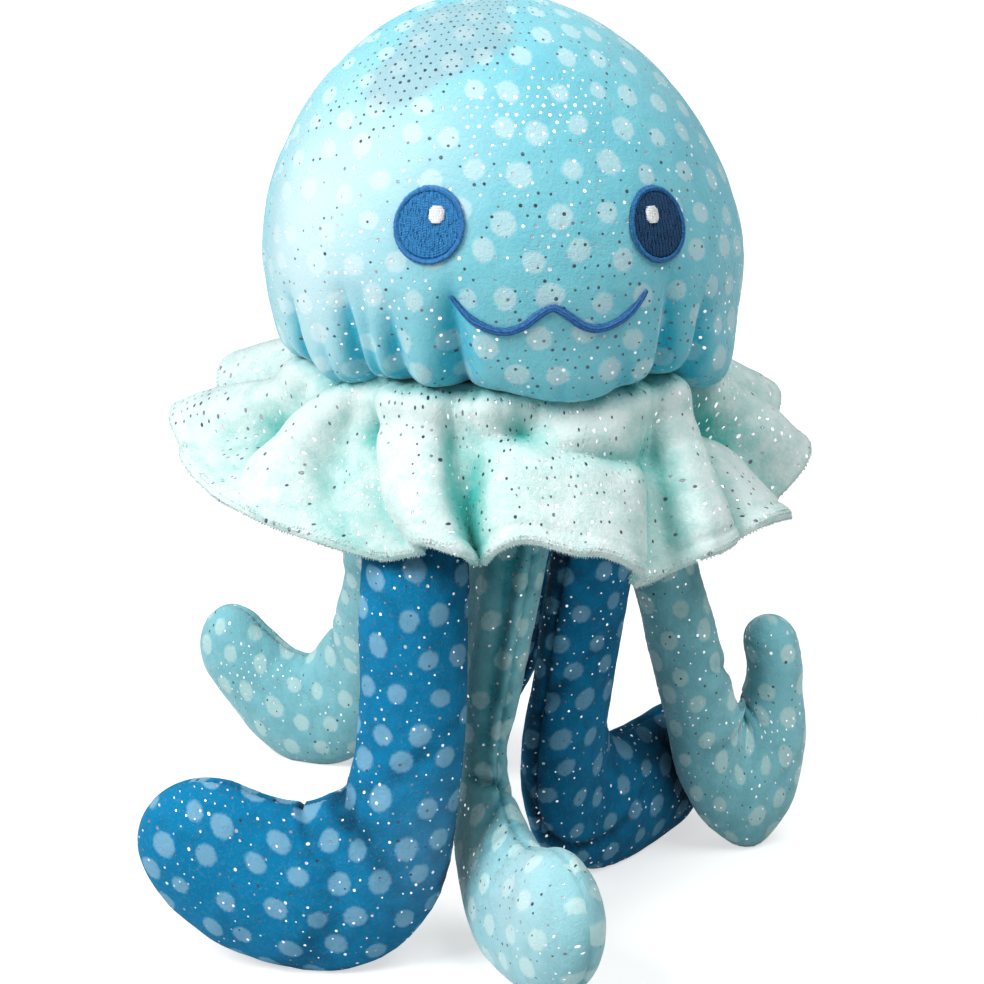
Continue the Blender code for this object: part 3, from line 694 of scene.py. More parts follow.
def ruffleMiddle(share, azimuth):
    # Middle of the cloth, with folds that bulge over the valleys between them
    lift, dent = foldHeight(azimuth, share)
    tall = (lift / (0.1 + 0.9 * share ** 0.7) + ruffleShape["valley"]) / (17 * mm)
    slope = np.gradient(tall, azimuth[0], axis=1)
    turn = azimuth - ruffleShape["overhang"] * slope * (tall - 0.45) * 5.0 * smoothStep(share / 0.5)
    angle, slant = skirtAt(azimuth)
    run = slant * share
    out = lift - dent
    radius = headShape["neckRadius"] - seamGap + run * np.cos(angle) + out * np.sin(angle)
    z = headShape["neckZ"] - seamGap - ruffleShape["flange"] / 2
    z = z - run * np.sin(angle) + out * np.cos(angle)
    return polar(radius, turn, z), slant, tall, dent


def ruffleWrinkles(azimuth, share):
    # Fine gathers that run down from the seam and die out
    rng = np.random.default_rng(11)
    total = np.zeros(np.broadcast(azimuth, share).shape)
    for middle in np.arange(-180, 180, 4.5):
        spot = middle + rng.uniform(-1.6, 1.6)
        reach = rng.uniform(0.12, 0.45)
        away = turnBetween(azimuth, spot + share * rng.uniform(-6, 6)) / rng.uniform(0.9, 1.8)
        total += rng.uniform(0.2, 0.9) * mm * np.exp(-away ** 2) * (1 - smoothStep(share / reach))
    return total


def ruffleSkins():
    r = ruffleShape
    share = (np.linspace(0, 1, r["rows"]) ** 0.93)[:, None]
    azimuth = (-180.0 + 360.0 * np.arange(r["columns"]) / r["columns"])[None, :] + 0 * share
    middle, slant, tall, dent = ruffleMiddle(share + 0 * azimuth, azimuth)
    normal = -gridNormals(middle, True)
    toHem = slant * (1 - share)
    hem = np.sqrt(1 - (1 - np.clip(toHem / (r["thickness"] / 2), 0, 1)) ** 2)
    line = np.exp(-((toHem - r["hemLine"]) / (0.7 * mm)) ** 2)
    half = r["flange"] / 2 + (r["thickness"] - r["flange"]) / 2 * np.clip(share / 0.3, 0, 1)
    half = half * np.maximum(hem, 0.12) - 0.55 * mm * line
    skins = []
    for side, seed in ((1, 21), (-1, 22)):
        lump = waves(middle, 14 * mm, seed) * 0.3 * mm + waves(middle, 5 * mm, seed + 5) * 0.12 * mm
        lump = lump - ruffleWrinkles(azimuth, share)
        out = side * (half + lump * smoothStep(share / 0.06) * hem)
        skins.append(middle + normal * out[..., None])
    # Painted shade: darker in the valleys between the folds and in the pits
    depth = np.clip(0.30 - tall * 0.5, 0, 1) * smoothStep(share / 0.25) + 0.7 * dent / (9 * mm)
    return skins, share, azimuth, slant, np.clip(depth, 0, 1) ** 1.3


def makeRuffle():
    r = ruffleShape
    (upper, lower), share, azimuth, slant, depth = ruffleSkins()
    top = headShape["neckZ"] - seamGap
    inner = [polar(r["innerRadius"], azimuth[0], z) for z in (top - r["flange"], top)]
    layers = np.concatenate([upper, lower[::-1], np.stack(inner)], axis=0)
    layers = np.concatenate([layers, layers[:1]], axis=0)
    v = np.concatenate([(slant * share), (2 * slant - slant * share)[::-1]], axis=0)
    v = np.concatenate([v, v[-1:] + 2 * mm, v[-1:] + 4 * mm, v[-1:] + 10 * mm], axis=0)
    u = (azimuth[:1] + 180.0) / 360.0 * r["clothLength"] + 0 * v
    cloth = np.stack([u, v], axis=-1)
    cloth = np.concatenate([cloth, cloth[:, :1] + (r["clothLength"], 0)], axis=1)
    total = len(layers) - 1
    index = np.arange(total * r["columns"]).reshape(total, r["columns"])
    index = np.concatenate([index, index[:1]], axis=0)
    index = np.concatenate([index, index[:, :1]], axis=1)
    # Painted shade: the lower skin is darker than the upper skin, the inner edge half shaded
    shade = np.concatenate([depth, np.clip(depth[::-1] + 0.3, 0, 1),
                            np.full((2, r["columns"]), 0.5)])
    piece = makePiece("rufflePlush", layers[:-1].reshape(-1, 3), [quads(index, cloth)],
                      plushes["ruffle"], shade)
    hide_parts("ruffle")
    return piece, upper, lower


rufflePiece, ruffleUpper, ruffleLower = makeRuffle()
print("ruffle made", len(rufflePiece.data.polygons))


def spikes(name, feet, ways, heights, radius, material, seed):
    # Tufts of pile: slim closed spikes, each with a foot, a way and a height
    rng = np.random.default_rng(seed)
    side = np.cross(ways, rng.normal(size=ways.shape))
    side /= np.maximum(np.linalg.norm(side, axis=1, keepdims=True), 1e-9)
    other = np.cross(ways, side)
    corners = [feet + radius * (side * cos(a) + other * sin(a)) for a in (0, 2.1, 4.2)]
    tips = feet + ways * heights[:, None]
    points = np.stack(corners + [tips], axis=1).reshape(-1, 3)
    base = (np.arange(len(feet)) * 4)[:, None]
    faces = np.concatenate([base + f for f in ((0, 1, 3), (1, 2, 3), (2, 0, 3), (0, 2, 1))], axis=1)
    faces = faces.reshape(-1, 3).tolist()
    uv = np.repeat(feet[:, :2], 12, axis=0).tolist()
    return makePiece(name, points, [(faces, uv)], material)


# Loose pile along the hem
hemPile = {"count": 20000, "shortest": 0.35 * mm, "longest": 1.2 * mm, "radius": 0.14 * mm}


def makeHemPile():
    rng = np.random.default_rng(31)
    count = hemPile["count"]
    column = rng.integers(0, ruffleUpper.shape[1], count)
    back = rng.integers(1, 4, count)
    skin = rng.random(count) < 0.5
    edge = np.where(skin[:, None], ruffleUpper[-back, column], ruffleLower[-back, column])
    inner = np.where(skin[:, None], ruffleUpper[-back - 4, column], ruffleLower[-back - 4, column])
    out = edge - inner
    out /= np.linalg.norm(out, axis=1, keepdims=True)
    tuft = np.stack([np.sin(column * f + p) for f, p in ((0.31, 0), (0.43, 2), (0.23, 4))], axis=-1)
    ways = out + 0.35 * tuft + rng.normal(size=out.shape) * 0.3 + (0, 0, -0.2)
    ways /= np.linalg.norm(ways, axis=1, keepdims=True)
    heights = rng.uniform(hemPile["shortest"], hemPile["longest"], count)
    pile = spikes("hemPile", edge - out * 0.3 * mm, ways, heights, hemPile["radius"],
                  plushes["hem"], 32)
    return pile


hemPilePiece = makeHemPile()
print("hem pile made")


# Base panel under the neck
panelShape = {"radius": 46.7 * mm, "thickness": 4.7 * mm, "columns": 120, "rows": 14}


def makeBasePanel():
    p = panelShape
    top = headShape["neckZ"] - seamGap
    share = np.concatenate([np.linspace(0.04, 1, p["rows"]), np.ones(5),
                            np.linspace(1, 0.04, p["rows"])])
    side = np.concatenate([np.ones(p["rows"]), np.cos(np.linspace(0, pi, 7)[1:-1]),
                           -np.ones(p["rows"])])
    azimuth = 360.0 * np.arange(p["columns"]) / p["columns"]
    rim = 1.0 - 0.02 * np.abs(side)
    radius = (p["radius"] * share * rim)[:, None] + 0 * azimuth
    z = (top - p["thickness"] / 2 * (1 - side * 0.98))[:, None] + 0 * azimuth
    points = polar(radius, azimuth[None, :] + 0 * radius, z)
    dip = np.clip(waves(points, 12 * mm, 41), -1, 1) * 0.25 * mm - 0.3 * mm
    points[..., 2] += np.where(side < 0, -dip.T, dip.T).T * (np.abs(side) > 0.99)[:, None]
    index = np.arange(points[..., 0].size).reshape(points.shape[:2])
    index = np.concatenate([index, index[:, :1]], axis=1)
    cloth = np.concatenate([points[..., :2], points[:, :1, :2]], axis=1)
    size = points[..., 0].size
    parts = [quads(index, cloth), fan(index[0], size, cloth[0], (0, 0)),
             fan(index[-1], size + 1, cloth[-1], (0, 0))]
    flat = np.vstack([points.reshape(-1, 3), points[0].mean(axis=0), points[-1].mean(axis=0)])
    panel = makePiece("basePanelPlush", flat, parts, plushes["aqua"])
    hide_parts("base_panel")


makeBasePanel()
print("base panel made")


# Tentacles: two flat J panels each, sewn round the outline and stuffed. Each has its solid, its
# plush, and its root's azimuth and heading. Rows run root to toe: middle x, y, z, half width and
# half thickness in mm, then the heading's azimuth and the turn from hanging down, in degrees
tentacleShape = {
    "rootRadius": 33.0,
    "rootZ": 164.7,
    "rings": 150,
    "sides": 64,
    "seamDepth": 0.8 * mm,
    "lumps": 0.45 * mm,
}
tentacles = {
    "blueFrontLeft": ("tentacle_blue_front_left", "blue", -60, -135, [
        (-33, -37, 134, 14.5, 10.0, -115, 0), (-36, -49, 107, 15.5, 11.5, -102, 0),
        (-37, -52, 76, 15.5, 11.5, -102, 2), (-41, -53, 52, 17.0, 12.0, -102, 15),
        (-51, -51, 31, 24.5, 12.5, -105, 50), (-67, -48, 24.4, 26.1, 13.0, -108, 80),
        (-88, -41, 30, 24.0, 12.5, -108, 102), (-112, -33, 45, 18.5, 11.0, -108, 118)]),
    "aquaFront": ("tentacle_aqua_front", "aqua", 0, 40, [
        (-3.5, -32, 130, 14.5, 10.0, 20, 0), (-7, -31.5, 105, 15.0, 9.5, 15, 0),
        (-11.5, -31, 78, 15.0, 8.5, 15, 0), (-14.5, -31, 56, 15.0, 7.0, 15, 5),
        (-14, -39, 38, 15.0, 8.0, 18, 42), (-11, -57, 22, 20.0, 12.0, 18, 72),
        (-6, -77, 21, 21.5, 13.0, 18, 93), (2, -102, 31.5, 22.5, 12.5, 18, 106)]),
    "blueRight": ("tentacle_blue_right", "blue", 60, 150, [
        (25, -22, 125, 15.0, 10.5, 135, -8), (21, -20, 97, 15.5, 11.0, 133, -5),
        (18, -16, 68, 15.5, 11.0, 133, 2), (17, -11, 48, 17.0, 11.5, 133, 18),
        (22, -3, 29, 21.5, 11.5, 132, 50), (35, 6, 20.5, 22.0, 11.5, 130, 82),
        (52, 20, 20.5, 22.0, 11.5, 129, 92), (76, 40, 24, 21.5, 11.0, 129, 98)]),
    "aquaRight": ("tentacle_aqua_right", "aqua", 120, 50, [
        (45, 9, 125, 11.5, 12.5, 70, 10), (53, 3, 92, 11.0, 12.5, 78, 15),
        (60, 1, 65, 11.5, 12.5, 78, 18), (65.5, 4, 46, 12.5, 12.5, 78, 25),
        (70, 6.5, 36, 17.0, 12.5, 78, 55), (76, 9, 27.5, 23.0, 12.0, 77, 80),
        (82.5, 10, 22.6, 23.2, 12.0, 76, 97), (89, 11.5, 29, 19.5, 12.0, 75, 116),
        (92, 13, 39, 14.0, 12.0, 74, 140), (92.5, 15.5, 49, 10.0, 12.0, 73, 171),
        (92.5, 16.5, 60, 9.0, 11.5, 72, 183), (90.5, 18.5, 74, 9.0, 11.0, 72, 188)]),
    "blueBack": ("tentacle_blue_back", "blue", 180, -110, [
        (8, 42, 125, 16.0, 11.5, -145, 12), (14.5, 53, 92, 16.0, 11.5, -154, 12),
        (15.5, 63, 66, 16.5, 12.0, -154, 20), (9, 76, 44, 18.0, 12.0, -154, 42),
        (-2, 92, 27, 21.5, 12.0, -154, 70), (-10, 109, 21, 22.5, 12.0, -155, 92),
        (-17, 131, 28, 19.0, 11.0, -156, 105)]),
    "aquaBackLeft": ("tentacle_aqua_back_left", "aqua", -120, -160, [
        (-31, 38, 125, 15.0, 10.0, -135, 15), (-27, 57, 89, 15.0, 10.5, -126, 20),
        (-27, 77, 61, 15.0, 10.5, -125, 22), (-30, 97, 37, 17.0, 11.0, -125, 42),
        (-40, 108, 20.5, 20.5, 11.0, -125, 68), (-54, 118, 20.5, 20.0, 11.0, -124, 98),
        (-67, 126, 34, 15.5, 10.5, -124, 124), (-78, 132, 50, 14.0, 9.5, -124, 130)]),
}


def tentacleLine(azimuth, heading, rows):
    t = tentacleShape
    root = polar(t["rootRadius"], azimuth, t["rootZ"])
    line = catmull([[*root, 12.5, 9.5, heading, 0]] + [list(row) for row in rows], 40)
    lengths = lengthsAlong(line[:, :3])
    share = 1.0 - (1.0 - np.linspace(0, 0.9985, t["rings"])) ** 1.5
    return resample(line, lengths, share * lengths[-1]), lengths[-1] * (1 - share)


def tentacleFrame(line):
    heading = line[:, 5:6]
    turn = np.radians(line[:, 6:7])
    toe = polar(1.0, heading[:, 0], 0.0)
    across = -toe * np.cos(turn) - np.array([[0, 0, 1.0]]) * np.sin(turn)
    return across, polar(1.0, heading[:, 0] + 90.0, 0.0)


def clothPath(line):
    # The middle line laid flat in the plane of the seam
    turn = np.radians(line[:, 6])
    step = np.linalg.norm(np.diff(line[:, :3], axis=0), axis=1) * mm
    middle = (turn[1:] + turn[:-1]) / 2
    flat = np.cumsum(np.stack([np.sin(middle), -np.cos(middle)], axis=-1) * step[:, None], axis=0)
    return np.vstack([[0, 0], flat]), np.stack([-np.cos(turn), -np.sin(turn)], axis=-1)


# Folds across a tentacle: share of its length, angle round the section, reach along and round,
# slant, depth in mm
legFolds = {
    "blueFrontLeft": [(0.60, 150, 5.0, 70, 10, 2.2), (0.52, 100, 4.0, 60, -14, 0.9),
                      (0.30, 110, 3.0, 50, 8, 0.8), (0.75, 60, 4.0, 60, 12, 0.9)],
    "aquaFront": [(0.30, 212, 45.0, 11, 0, 2.4), (0.30, 245, 40.0, 9, 0, -1.2),
                  (0.60, 190, 2.2, 60, 6, 2.4), (0.66, 200, 3.0, 40, -8, 1.2),
                  (0.48, 170, 3.5, 40, 10, 1.2)],
    "blueRight": [(0.66, 330, 2.0, 60, 18, 2.2), (0.42, 320, 3.0, 50, -12, 1.0),
                  (0.22, 320, 3.5, 60, 12, 0.9)],
    "aquaRight": [(0.52, 180, 3.0, 60, 8, 1.6), (0.34, 200, 4.0, 60, -10, 1.0),
                  (0.66, 240, 3.0, 50, 10, 1.2)],
    "blueBack": [(0.60, 180, 4.0, 60, 10, 1.6)],
    "aquaBackLeft": [(0.58, 180, 3.5, 60, 10, 1.8), (0.40, 120, 4.0, 60, -10, 1.0)],
}


def foldedIn(name, left, angle):
    total = np.zeros((len(left), len(angle)))
    along = (left[0] - left)[:, None]
    for share, middle, reach, spread, slant, deep in legFolds[name]:
        around = turnBetween(np.degrees(angle), middle)[None, :] / spread
        away = (along - share * left[0] + slant * around) / reach
        total += deep * mm * np.exp(-away ** 2 - around ** 2)
    return total


def bendCreases(line, left, angle, seed):
    # Creases across the inner side of the bend and puckers along the seam
    rng = np.random.default_rng(seed)
    turn = line[:, 6]
    along = left[0] - left
    bend = np.abs(np.gradient(turn, along + np.arange(len(along)) * 1e-6))
    bend = (bend / bend.max())[:, None]
    inner = np.clip(-np.cos(angle), 0, 1)[None, :] ** 1.5
    total = np.zeros((len(line), len(angle)))
    for _ in range(9):
        spot = rng.uniform(0.25, 0.85) * left[0]
        width = rng.uniform(1.2, 2.6)
        skew = rng.uniform(-5, 5)
        away = (along[:, None] - spot + skew * np.sin(angle)[None, :]) / width
        total += rng.uniform(0.4, 1.2) * mm * np.exp(-away ** 2) * inner * bend
    seam = np.exp(-(np.sin(angle) * 7) ** 2)[None, :]
    total += seam * 0.25 * mm * (1 + np.sin(along / 3.1 * 2 * pi + seed))[:, None]
    return total


def tentaclePoints(name, line, left, angle, seed):
    t = tentacleShape
    across, depthWay = tentacleFrame(line)
    shrink = np.sqrt(1 - (1 - np.clip(left / line[:, 3], 0, 1)) ** 2)
    wide = (line[:, 3] * shrink * mm)[:, None]
    thick = (line[:, 4] * shrink * mm)[:, None]
    points = line[:, None, :3] * mm + across[:, None] * (np.cos(angle) * wide)[..., None]
    points = points + depthWay[:, None] * (np.sin(angle) * thick)[..., None]
    normal = across[:, None] * (np.cos(angle) / np.maximum(wide, 1e-5))[..., None]
    normal = normal + depthWay[:, None] * (np.sin(angle) / np.maximum(thick, 1e-5))[..., None]
    normal /= np.linalg.norm(normal, axis=-1, keepdims=True)
    fade = (shrink * smoothStep((left[0] - left) / 6))[:, None]
    fromSeam = np.abs(np.sin(angle)) * thick
    groove = t["seamDepth"] * np.exp(-(fromSeam / (0.8 * mm)) ** 2)
    crease = bendCreases(line, left, angle, seed) + foldedIn(name, left, angle)
    lump = waves(points, 22 * mm, seed) * t["lumps"] + waves(points, 7 * mm, seed + 1) * 0.13 * mm
    points = points + normal * ((lump - groove - crease) * fade)[..., None]
    points[..., 2] = np.where(points[..., 2] < 0, 0.02 * points[..., 2], points[..., 2])
    # The second value is painted shade in the seam groove and the creases
    return points, np.clip((groove + crease) / (1.6 * mm), 0, 1) * 0.6 * fade


def panelOffsets(line, left, angle):
    # Distance over the stuffed surface from the middle of a panel towards its seams
    shrink = np.sqrt(1 - (1 - np.clip(left / line[:, 3], 0, 1)) ** 2)
    wide = (line[:, 3] * shrink * mm)[:, None] * np.cos(angle)
    thick = (line[:, 4] * shrink * mm)[:, None] * np.sin(angle)
    step = np.hypot(np.diff(wide, axis=1), np.diff(thick, axis=1))
    run = np.concatenate([np.zeros((len(line), 1)), np.cumsum(step, axis=1)], axis=1)
    return run[:, -1:] / 2 - run


def makeTentacle(name, node, plush, azimuth, heading, rows, seed):
    t = tentacleShape
    line, left = tentacleLine(azimuth, heading, rows)
    angle = 2 * pi * np.arange(t["sides"]) / t["sides"]
    points, depth = tentaclePoints(name, line, left, angle, seed)
    index = np.arange(points[..., 0].size).reshape(points.shape[:2])
    index = np.concatenate([index, index[:, :1]], axis=1)
    path, pathAcross = clothPath(line)
    half = t["sides"] // 2
    parts = []
    clothRings = []
    for k, part in enumerate((slice(0, half + 1), slice(half, t["sides"] + 1))):
        away = panelOffsets(line, left, np.linspace(0, pi, half + 1))
        cloth = path[:, None] + pathAcross[:, None] * (away * (1 - 2 * k))[..., None]
        cloth = cloth + (0.3 * k + 0.07 * seed, 0.11 * seed)
        parts.append(quads(index[:, part], cloth))
        clothRings.append(cloth)
    size = points[..., 0].size
    for k, part in enumerate((slice(0, half + 1), slice(half, t["sides"] + 1))):
        parts.append(fan(index[-1, part], size, clothRings[k][-1], clothRings[k][-1, half // 2]))
        parts.append(fan(index[0, part], size + 1, clothRings[k][0], clothRings[k][0, half // 2]))
    flat = np.vstack([points.reshape(-1, 3), points[-1].mean(axis=0), points[0].mean(axis=0)])
    piece = makePiece(name + "Tentacle", flat, parts, plushes[plush],
                      np.concatenate([depth.ravel(), [0, 0]]))
    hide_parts(node)


for seed, (name, (node, plush, azimuth, heading, rows)) in enumerate(tentacles.items()):
    makeTentacle(name, node, plush, azimuth, heading, rows, seed + 50)
print("tentacles made")


# Painted shade: pile that little light reaches, found by casting rays, gets its deeper colour, and
# so does pile turned away from the key light
shelter = {"rays": 40, "reach": 70.0 * mm, "rounds": 4, "amount": 1.3, "free": 0.14,
           "turned": 0.30}
towardsKey = polar(cos(radians(40)), -50.0, sin(radians(40)))


def skyWays(count):
    k = np.arange(count) + 0.5
    z = 1 - 2 * k / count
    turn = pi * (1 + 5 ** 0.5) * k
    ring = np.sqrt(1 - z * z)
    return np.stack([ring * np.cos(turn), ring * np.sin(turn), z], axis=-1)


def meshArrays(piece):
    count = len(piece.data.vertices)
    at = np.zeros(count * 3)
    normal = np.zeros(count * 3)
    piece.data.vertices.foreach_get("co", at)
    piece.data.vertices.foreach_get("normal", normal)
    return at.reshape(-1, 3), normal.reshape(-1, 3)


def wholeTree(pieces):
    corners = []
    faces = []
    for piece in pieces:
        start = len(corners)
        corners += [v.co for v in piece.data.vertices]
        faces += [[i + start for i in face.vertices] for face in piece.data.polygons]
    return BVHTree.FromPolygons(corners, faces)


def lostSky(tree, at, normal):
    ways = skyWays(shelter["rays"])
    facing = np.clip(normal @ ways.T, 0, None)
    lost = np.zeros(len(at))
    for i in range(len(at)):
        spot = Vector(at[i] + normal[i] * 0.6 * mm)
        for k in np.nonzero(facing[i] > 0.1)[0]:
            if tree.ray_cast(spot, ways[k], shelter["reach"])[0] is not None:
                lost[i] += facing[i, k]
    return lost / np.maximum(facing.sum(axis=1), 1e-9)


def smoothOver(piece, values, rounds):
    edges = np.zeros(len(piece.data.edges) * 2, dtype=int)
    piece.data.edges.foreach_get("vertices", edges)
    a, b = edges.reshape(-1, 2).T
    share = np.bincount(a, minlength=len(values)) + np.bincount(b, minlength=len(values))
    for _ in range(rounds):
        total = np.bincount(a, values[b], len(values)) + np.bincount(b, values[a], len(values))
        values = 0.4 * values + 0.6 * total / np.maximum(share, 1)
    return values


def shadeSheltered(pieces):
    tree = wholeTree(pieces)
    for piece in pieces:
        at, normal = meshArrays(piece)
        lost = smoothOver(piece, lostSky(tree, at, normal), shelter["rounds"])
        depth = np.zeros(len(at))
        marks = piece.data.attributes["Depth"].data
        marks.foreach_get("value", depth)
        extra = np.clip(lost - shelter["free"], 0, 1) * shelter["amount"]
        # Painted shade on pile turned away from the key light
        extra += shelter["turned"] * np.clip(0.55 - normal @ towardsKey, 0, 1)
        marks.foreach_set("value", np.clip(depth + extra, 0, 1))


stuffed = [ob for ob in bpy.data.objects if ob.name.endswith(("Plush", "Tentacle"))]
shadeSheltered(sorted(stuffed, key=lambda ob: ob.name))
print("sheltered pile shaded")


# Embroidery: single threads laid on the face
threadLook = {"twist": 0.7 * mm, "bump": 0.06 * mm}


def makeThread(name, colour, light, roughness):
    material = bpy.data.materials.new(name)
    material.use_nodes = True
    tree = material.node_tree
    shader = tree.nodes["Principled BSDF"]
    cloth = put(tree, "ShaderNodeUVMap", uv_map="Cloth").outputs[0]
    split = put(tree, "ShaderNodeSeparateXYZ", [cloth]).outputs
    lay = maths(tree, "ADD", maths(tree, "DIVIDE", split[0], threadLook["twist"]), split[1])
    strand = maths(tree, "SINE", maths(tree, "MULTIPLY", lay, 2 * pi))
    place = put(tree, "ShaderNodeTexCoord").outputs["Object"]
    mottle = noise(tree, place, 1400.0, 2.0).outputs[0]
    share = ramp(tree, maths(tree, "MULTIPLY_ADD", strand, 0.18, mottle), 0.3, 0.75)
    colour = mixColour(tree, share, (*colour, 1.0), (*light, 1.0))
    tree.links.new(colour, shader.inputs["Base Color"])
    rough = maths(tree, "MULTIPLY_ADD", mottle, 0.25, roughness - 0.12)
    tree.links.new(rough, shader.inputs["Roughness"])
    bump = tree.nodes.new("ShaderNodeBump")
    bump.inputs["Strength"].default_value = 0.7
    bump.inputs["Distance"].default_value = threadLook["bump"]
    tree.links.new(strand, bump.inputs["Height"])
    tree.links.new(bump.outputs[0], shader.inputs["Normal"])
    shader.inputs["Specular IOR Level"].default_value = 0.25
    return material


# The two eyes, and the two rims, are one thread: a lighter copy for the lit left side and a darker
# copy with painted shade for the right
threads = {
    "leftEye": makeThread("leftEyeThread", (0.018, 0.17, 0.42), (0.05, 0.30, 0.62), 0.5),
    "rightEye": makeThread("rightEyeThread", (0.002, 0.03, 0.09), (0.006, 0.07, 0.18), 0.5),
    "leftEyeRim": makeThread("leftRimThread", (0.016, 0.14, 0.40), (0.06, 0.28, 0.58), 0.45),
    "rightEyeRim": makeThread("rightRimThread", (0.006, 0.085, 0.25), (0.03, 0.20, 0.44), 0.45),
    "glint": makeThread("glintThread", (0.80, 0.82, 0.84), (0.95, 0.95, 0.95), 0.5),
    "mouth": makeThread("mouthThread", (0.009, 0.085, 0.28), (0.05, 0.22, 0.50), 0.45),
}


def faceTree(piece):
    bm = bmesh.new()
    bm.from_mesh(piece.data)
    tree = BVHTree.FromBMesh(bm)
    bm.free()
    return tree


headTree = faceTree(headPiece)


def onFace(azimuth, z, along, up, lift):
    # A point a distance along the cheek and up from an azimuth and height
    turned = azimuth + along / headShape["radius"] * 180.0 / pi
    way = Vector(polar(1.0, turned, 0.0).tolist())
    start = Vector((axisX, axisY, z + up))
    spot = headTree.ray_cast(start, way)[0] + way * lift
    return np.array([spot.x - axisX, spot.y - axisY, spot.z])


def threadTube(points, radius, sides=6):
    # A thread through the points with rounded ends: rings, faces and cloth coordinates
    points = np.array(points)
    along = lengthsAlong(points)
    ways = np.gradient(points, axis=0)
    ways /= np.maximum(np.linalg.norm(ways, axis=1, keepdims=True), 1e-9)
    outward = points * (1, 1, 0)
    outward /= np.linalg.norm(outward, axis=1, keepdims=True)
    side = np.cross(ways, outward)
    side /= np.maximum(np.linalg.norm(side, axis=1, keepdims=True), 1e-9)
    other = np.cross(side, ways)
    thin = np.full(len(points), radius)
    thin[0] = thin[-1] = radius * 0.45
    angle = 2 * pi * np.arange(sides) / sides
    rings = points[:, None] + thin[:, None, None] * (side[:, None] * np.cos(angle)[None, :, None]
                                                     + other[:, None] * np.sin(angle)[None, :, None])
    around = np.arange(sides + 1) / sides
    cloth = np.stack(np.broadcast_arrays(along[:, None], around[None, :]), axis=-1)
    return rings, cloth


def threadPiece(name, lines, radius, material, ground=None):
    # All the threads of one motif, with the ground they are sewn on
    points = []
    parts = []
    count = 0
    for line in lines:
        rings, cloth = threadTube(line, radius)
        index = np.arange(rings[..., 0].size).reshape(rings.shape[:2]) + count
        index = np.concatenate([index, index[:, :1]], axis=1)
        parts.append(quads(index, cloth))
        for end in (0, -1):
            ring = index[end, :-1].tolist()
            parts.append(([ring], cloth[end, :-1].tolist()))
        points.append(rings.reshape(-1, 3))
        count += rings[..., 0].size
    if ground is not None:
        groundPoints, groundFaces, groundCloth = ground
        parts.append(([[v + count for v in face] for face in groundFaces], groundCloth))
        points.append(groundPoints)
    return makePiece(name, np.vstack(points), parts, material)


def arch(azimuth, z, start, end, low, high, steps=7):
    # A stitch from start to end on the face, raised in its middle
    line = []
    for t in np.linspace(0, 1, steps):
        along = start[0] + (end[0] - start[0]) * t
        up = start[1] + (end[1] - start[1]) * t
        line.append(onFace(azimuth, z, along, up, low + (high - low) * sin(pi * t) ** 0.6))
    return line


def groundPad(azimuth, z, outline, low, high):
    # A closed pad that follows the face under a motif's threads
    points = []
    count = len(outline)
    for lift in (low, high):
        for share in (1.0, 0.66, 0.33):
            points += [onFace(azimuth, z, a * share, u * share, lift) for a, u in outline]
        points.append(onFace(azimuth, z, 0.0, 0.0, lift))
    faces = []
    size = 3 * count + 1
    for skin in (0, 1):
        for k in range(2):
            for i in range(count):
                j = (i + 1) % count
                a = skin * size + k * count
                faces.append([a + i, a + j, a + count + j, a + count + i])
        for i in range(count):
            a = skin * size + 2 * count
            faces.append([a + i, a + (i + 1) % count, skin * size + size - 1])
    for i in range(count):
        j = (i + 1) % count
        faces.append([i, j, size + j, size + i])
    cloth = [[0.0, 0.0]] * sum(len(f) for f in faces)
    return np.array(points), faces, cloth


# Eyes: upright rows of fill stitches, a raised satin ring, and a white glint
eyeShape = {
    "radius": 10.2 * mm,
    "rim": 1.5 * mm,
    "thread": 0.21 * mm,
    "pitch": 0.40 * mm,
    "stitch": 6.5 * mm,
    "rib": 3,
    "fillLift": 0.75 * mm,
    "rimLift": 1.15 * mm,
    "glint": 4.4 * mm,
    "glintInward": 2.2 * mm,
    "glintUp": 2.9 * mm,
    "ribDrop": 0.16 * mm,
}
eyes = {"eye_left": (-28.8, 215.2 * mm, "leftEye"), "eye_right": (26.0, 213.7 * mm, "rightEye")}


def circle(radius, count):
    a = 2 * pi * np.arange(count) / count
    return [(radius * cos(x), radius * sin(x)) for x in a]


def fillStitches(azimuth, z, radius, seed):
    e = eyeShape
    rng = np.random.default_rng(seed)
    lines = []
    for k, along in enumerate(np.arange(-radius + e["pitch"] / 2, radius, e["pitch"])):
        reach = np.sqrt(radius ** 2 - along ** 2)
        up = -reach
        length = e["stitch"] * rng.uniform(0.3, 1.0)
        while up < reach - 0.5 * mm:
            top = min(up + length, reach)
            if reach - top < 0.8 * mm:
                top = reach
            sway = rng.uniform(-0.03, 0.03) * mm
            drop = e["ribDrop"] if k % e["rib"] == 0 else 0
            lift = e["fillLift"] + rng.uniform(-0.02, 0.03) * mm - drop
            lines.append(arch(azimuth, z, (along + sway, up), (along - sway, top), lift - 0.12 * mm,
                              lift, 8))
            up = top
            length = e["stitch"] * rng.uniform(0.85, 1.1)
    return lines


def rimStitches(azimuth, z, seed):
    e = eyeShape
    rng = np.random.default_rng(seed)
    count = int(2 * pi * e["radius"] / (e["pitch"] * 1.05))
    lines = []
    for k in range(count):
        a = 2 * pi * k / count
        b = a + 0.06
        inner = e["radius"] - e["rim"] + rng.uniform(-0.1, 0.1) * mm
        outer = e["radius"] + rng.uniform(-0.12, 0.12) * mm
        lines.append(arch(azimuth, z, (inner * cos(a), inner * sin(a)),
                          (outer * cos(b), outer * sin(b)), 0.25 * mm, e["rimLift"], 7))
    return lines


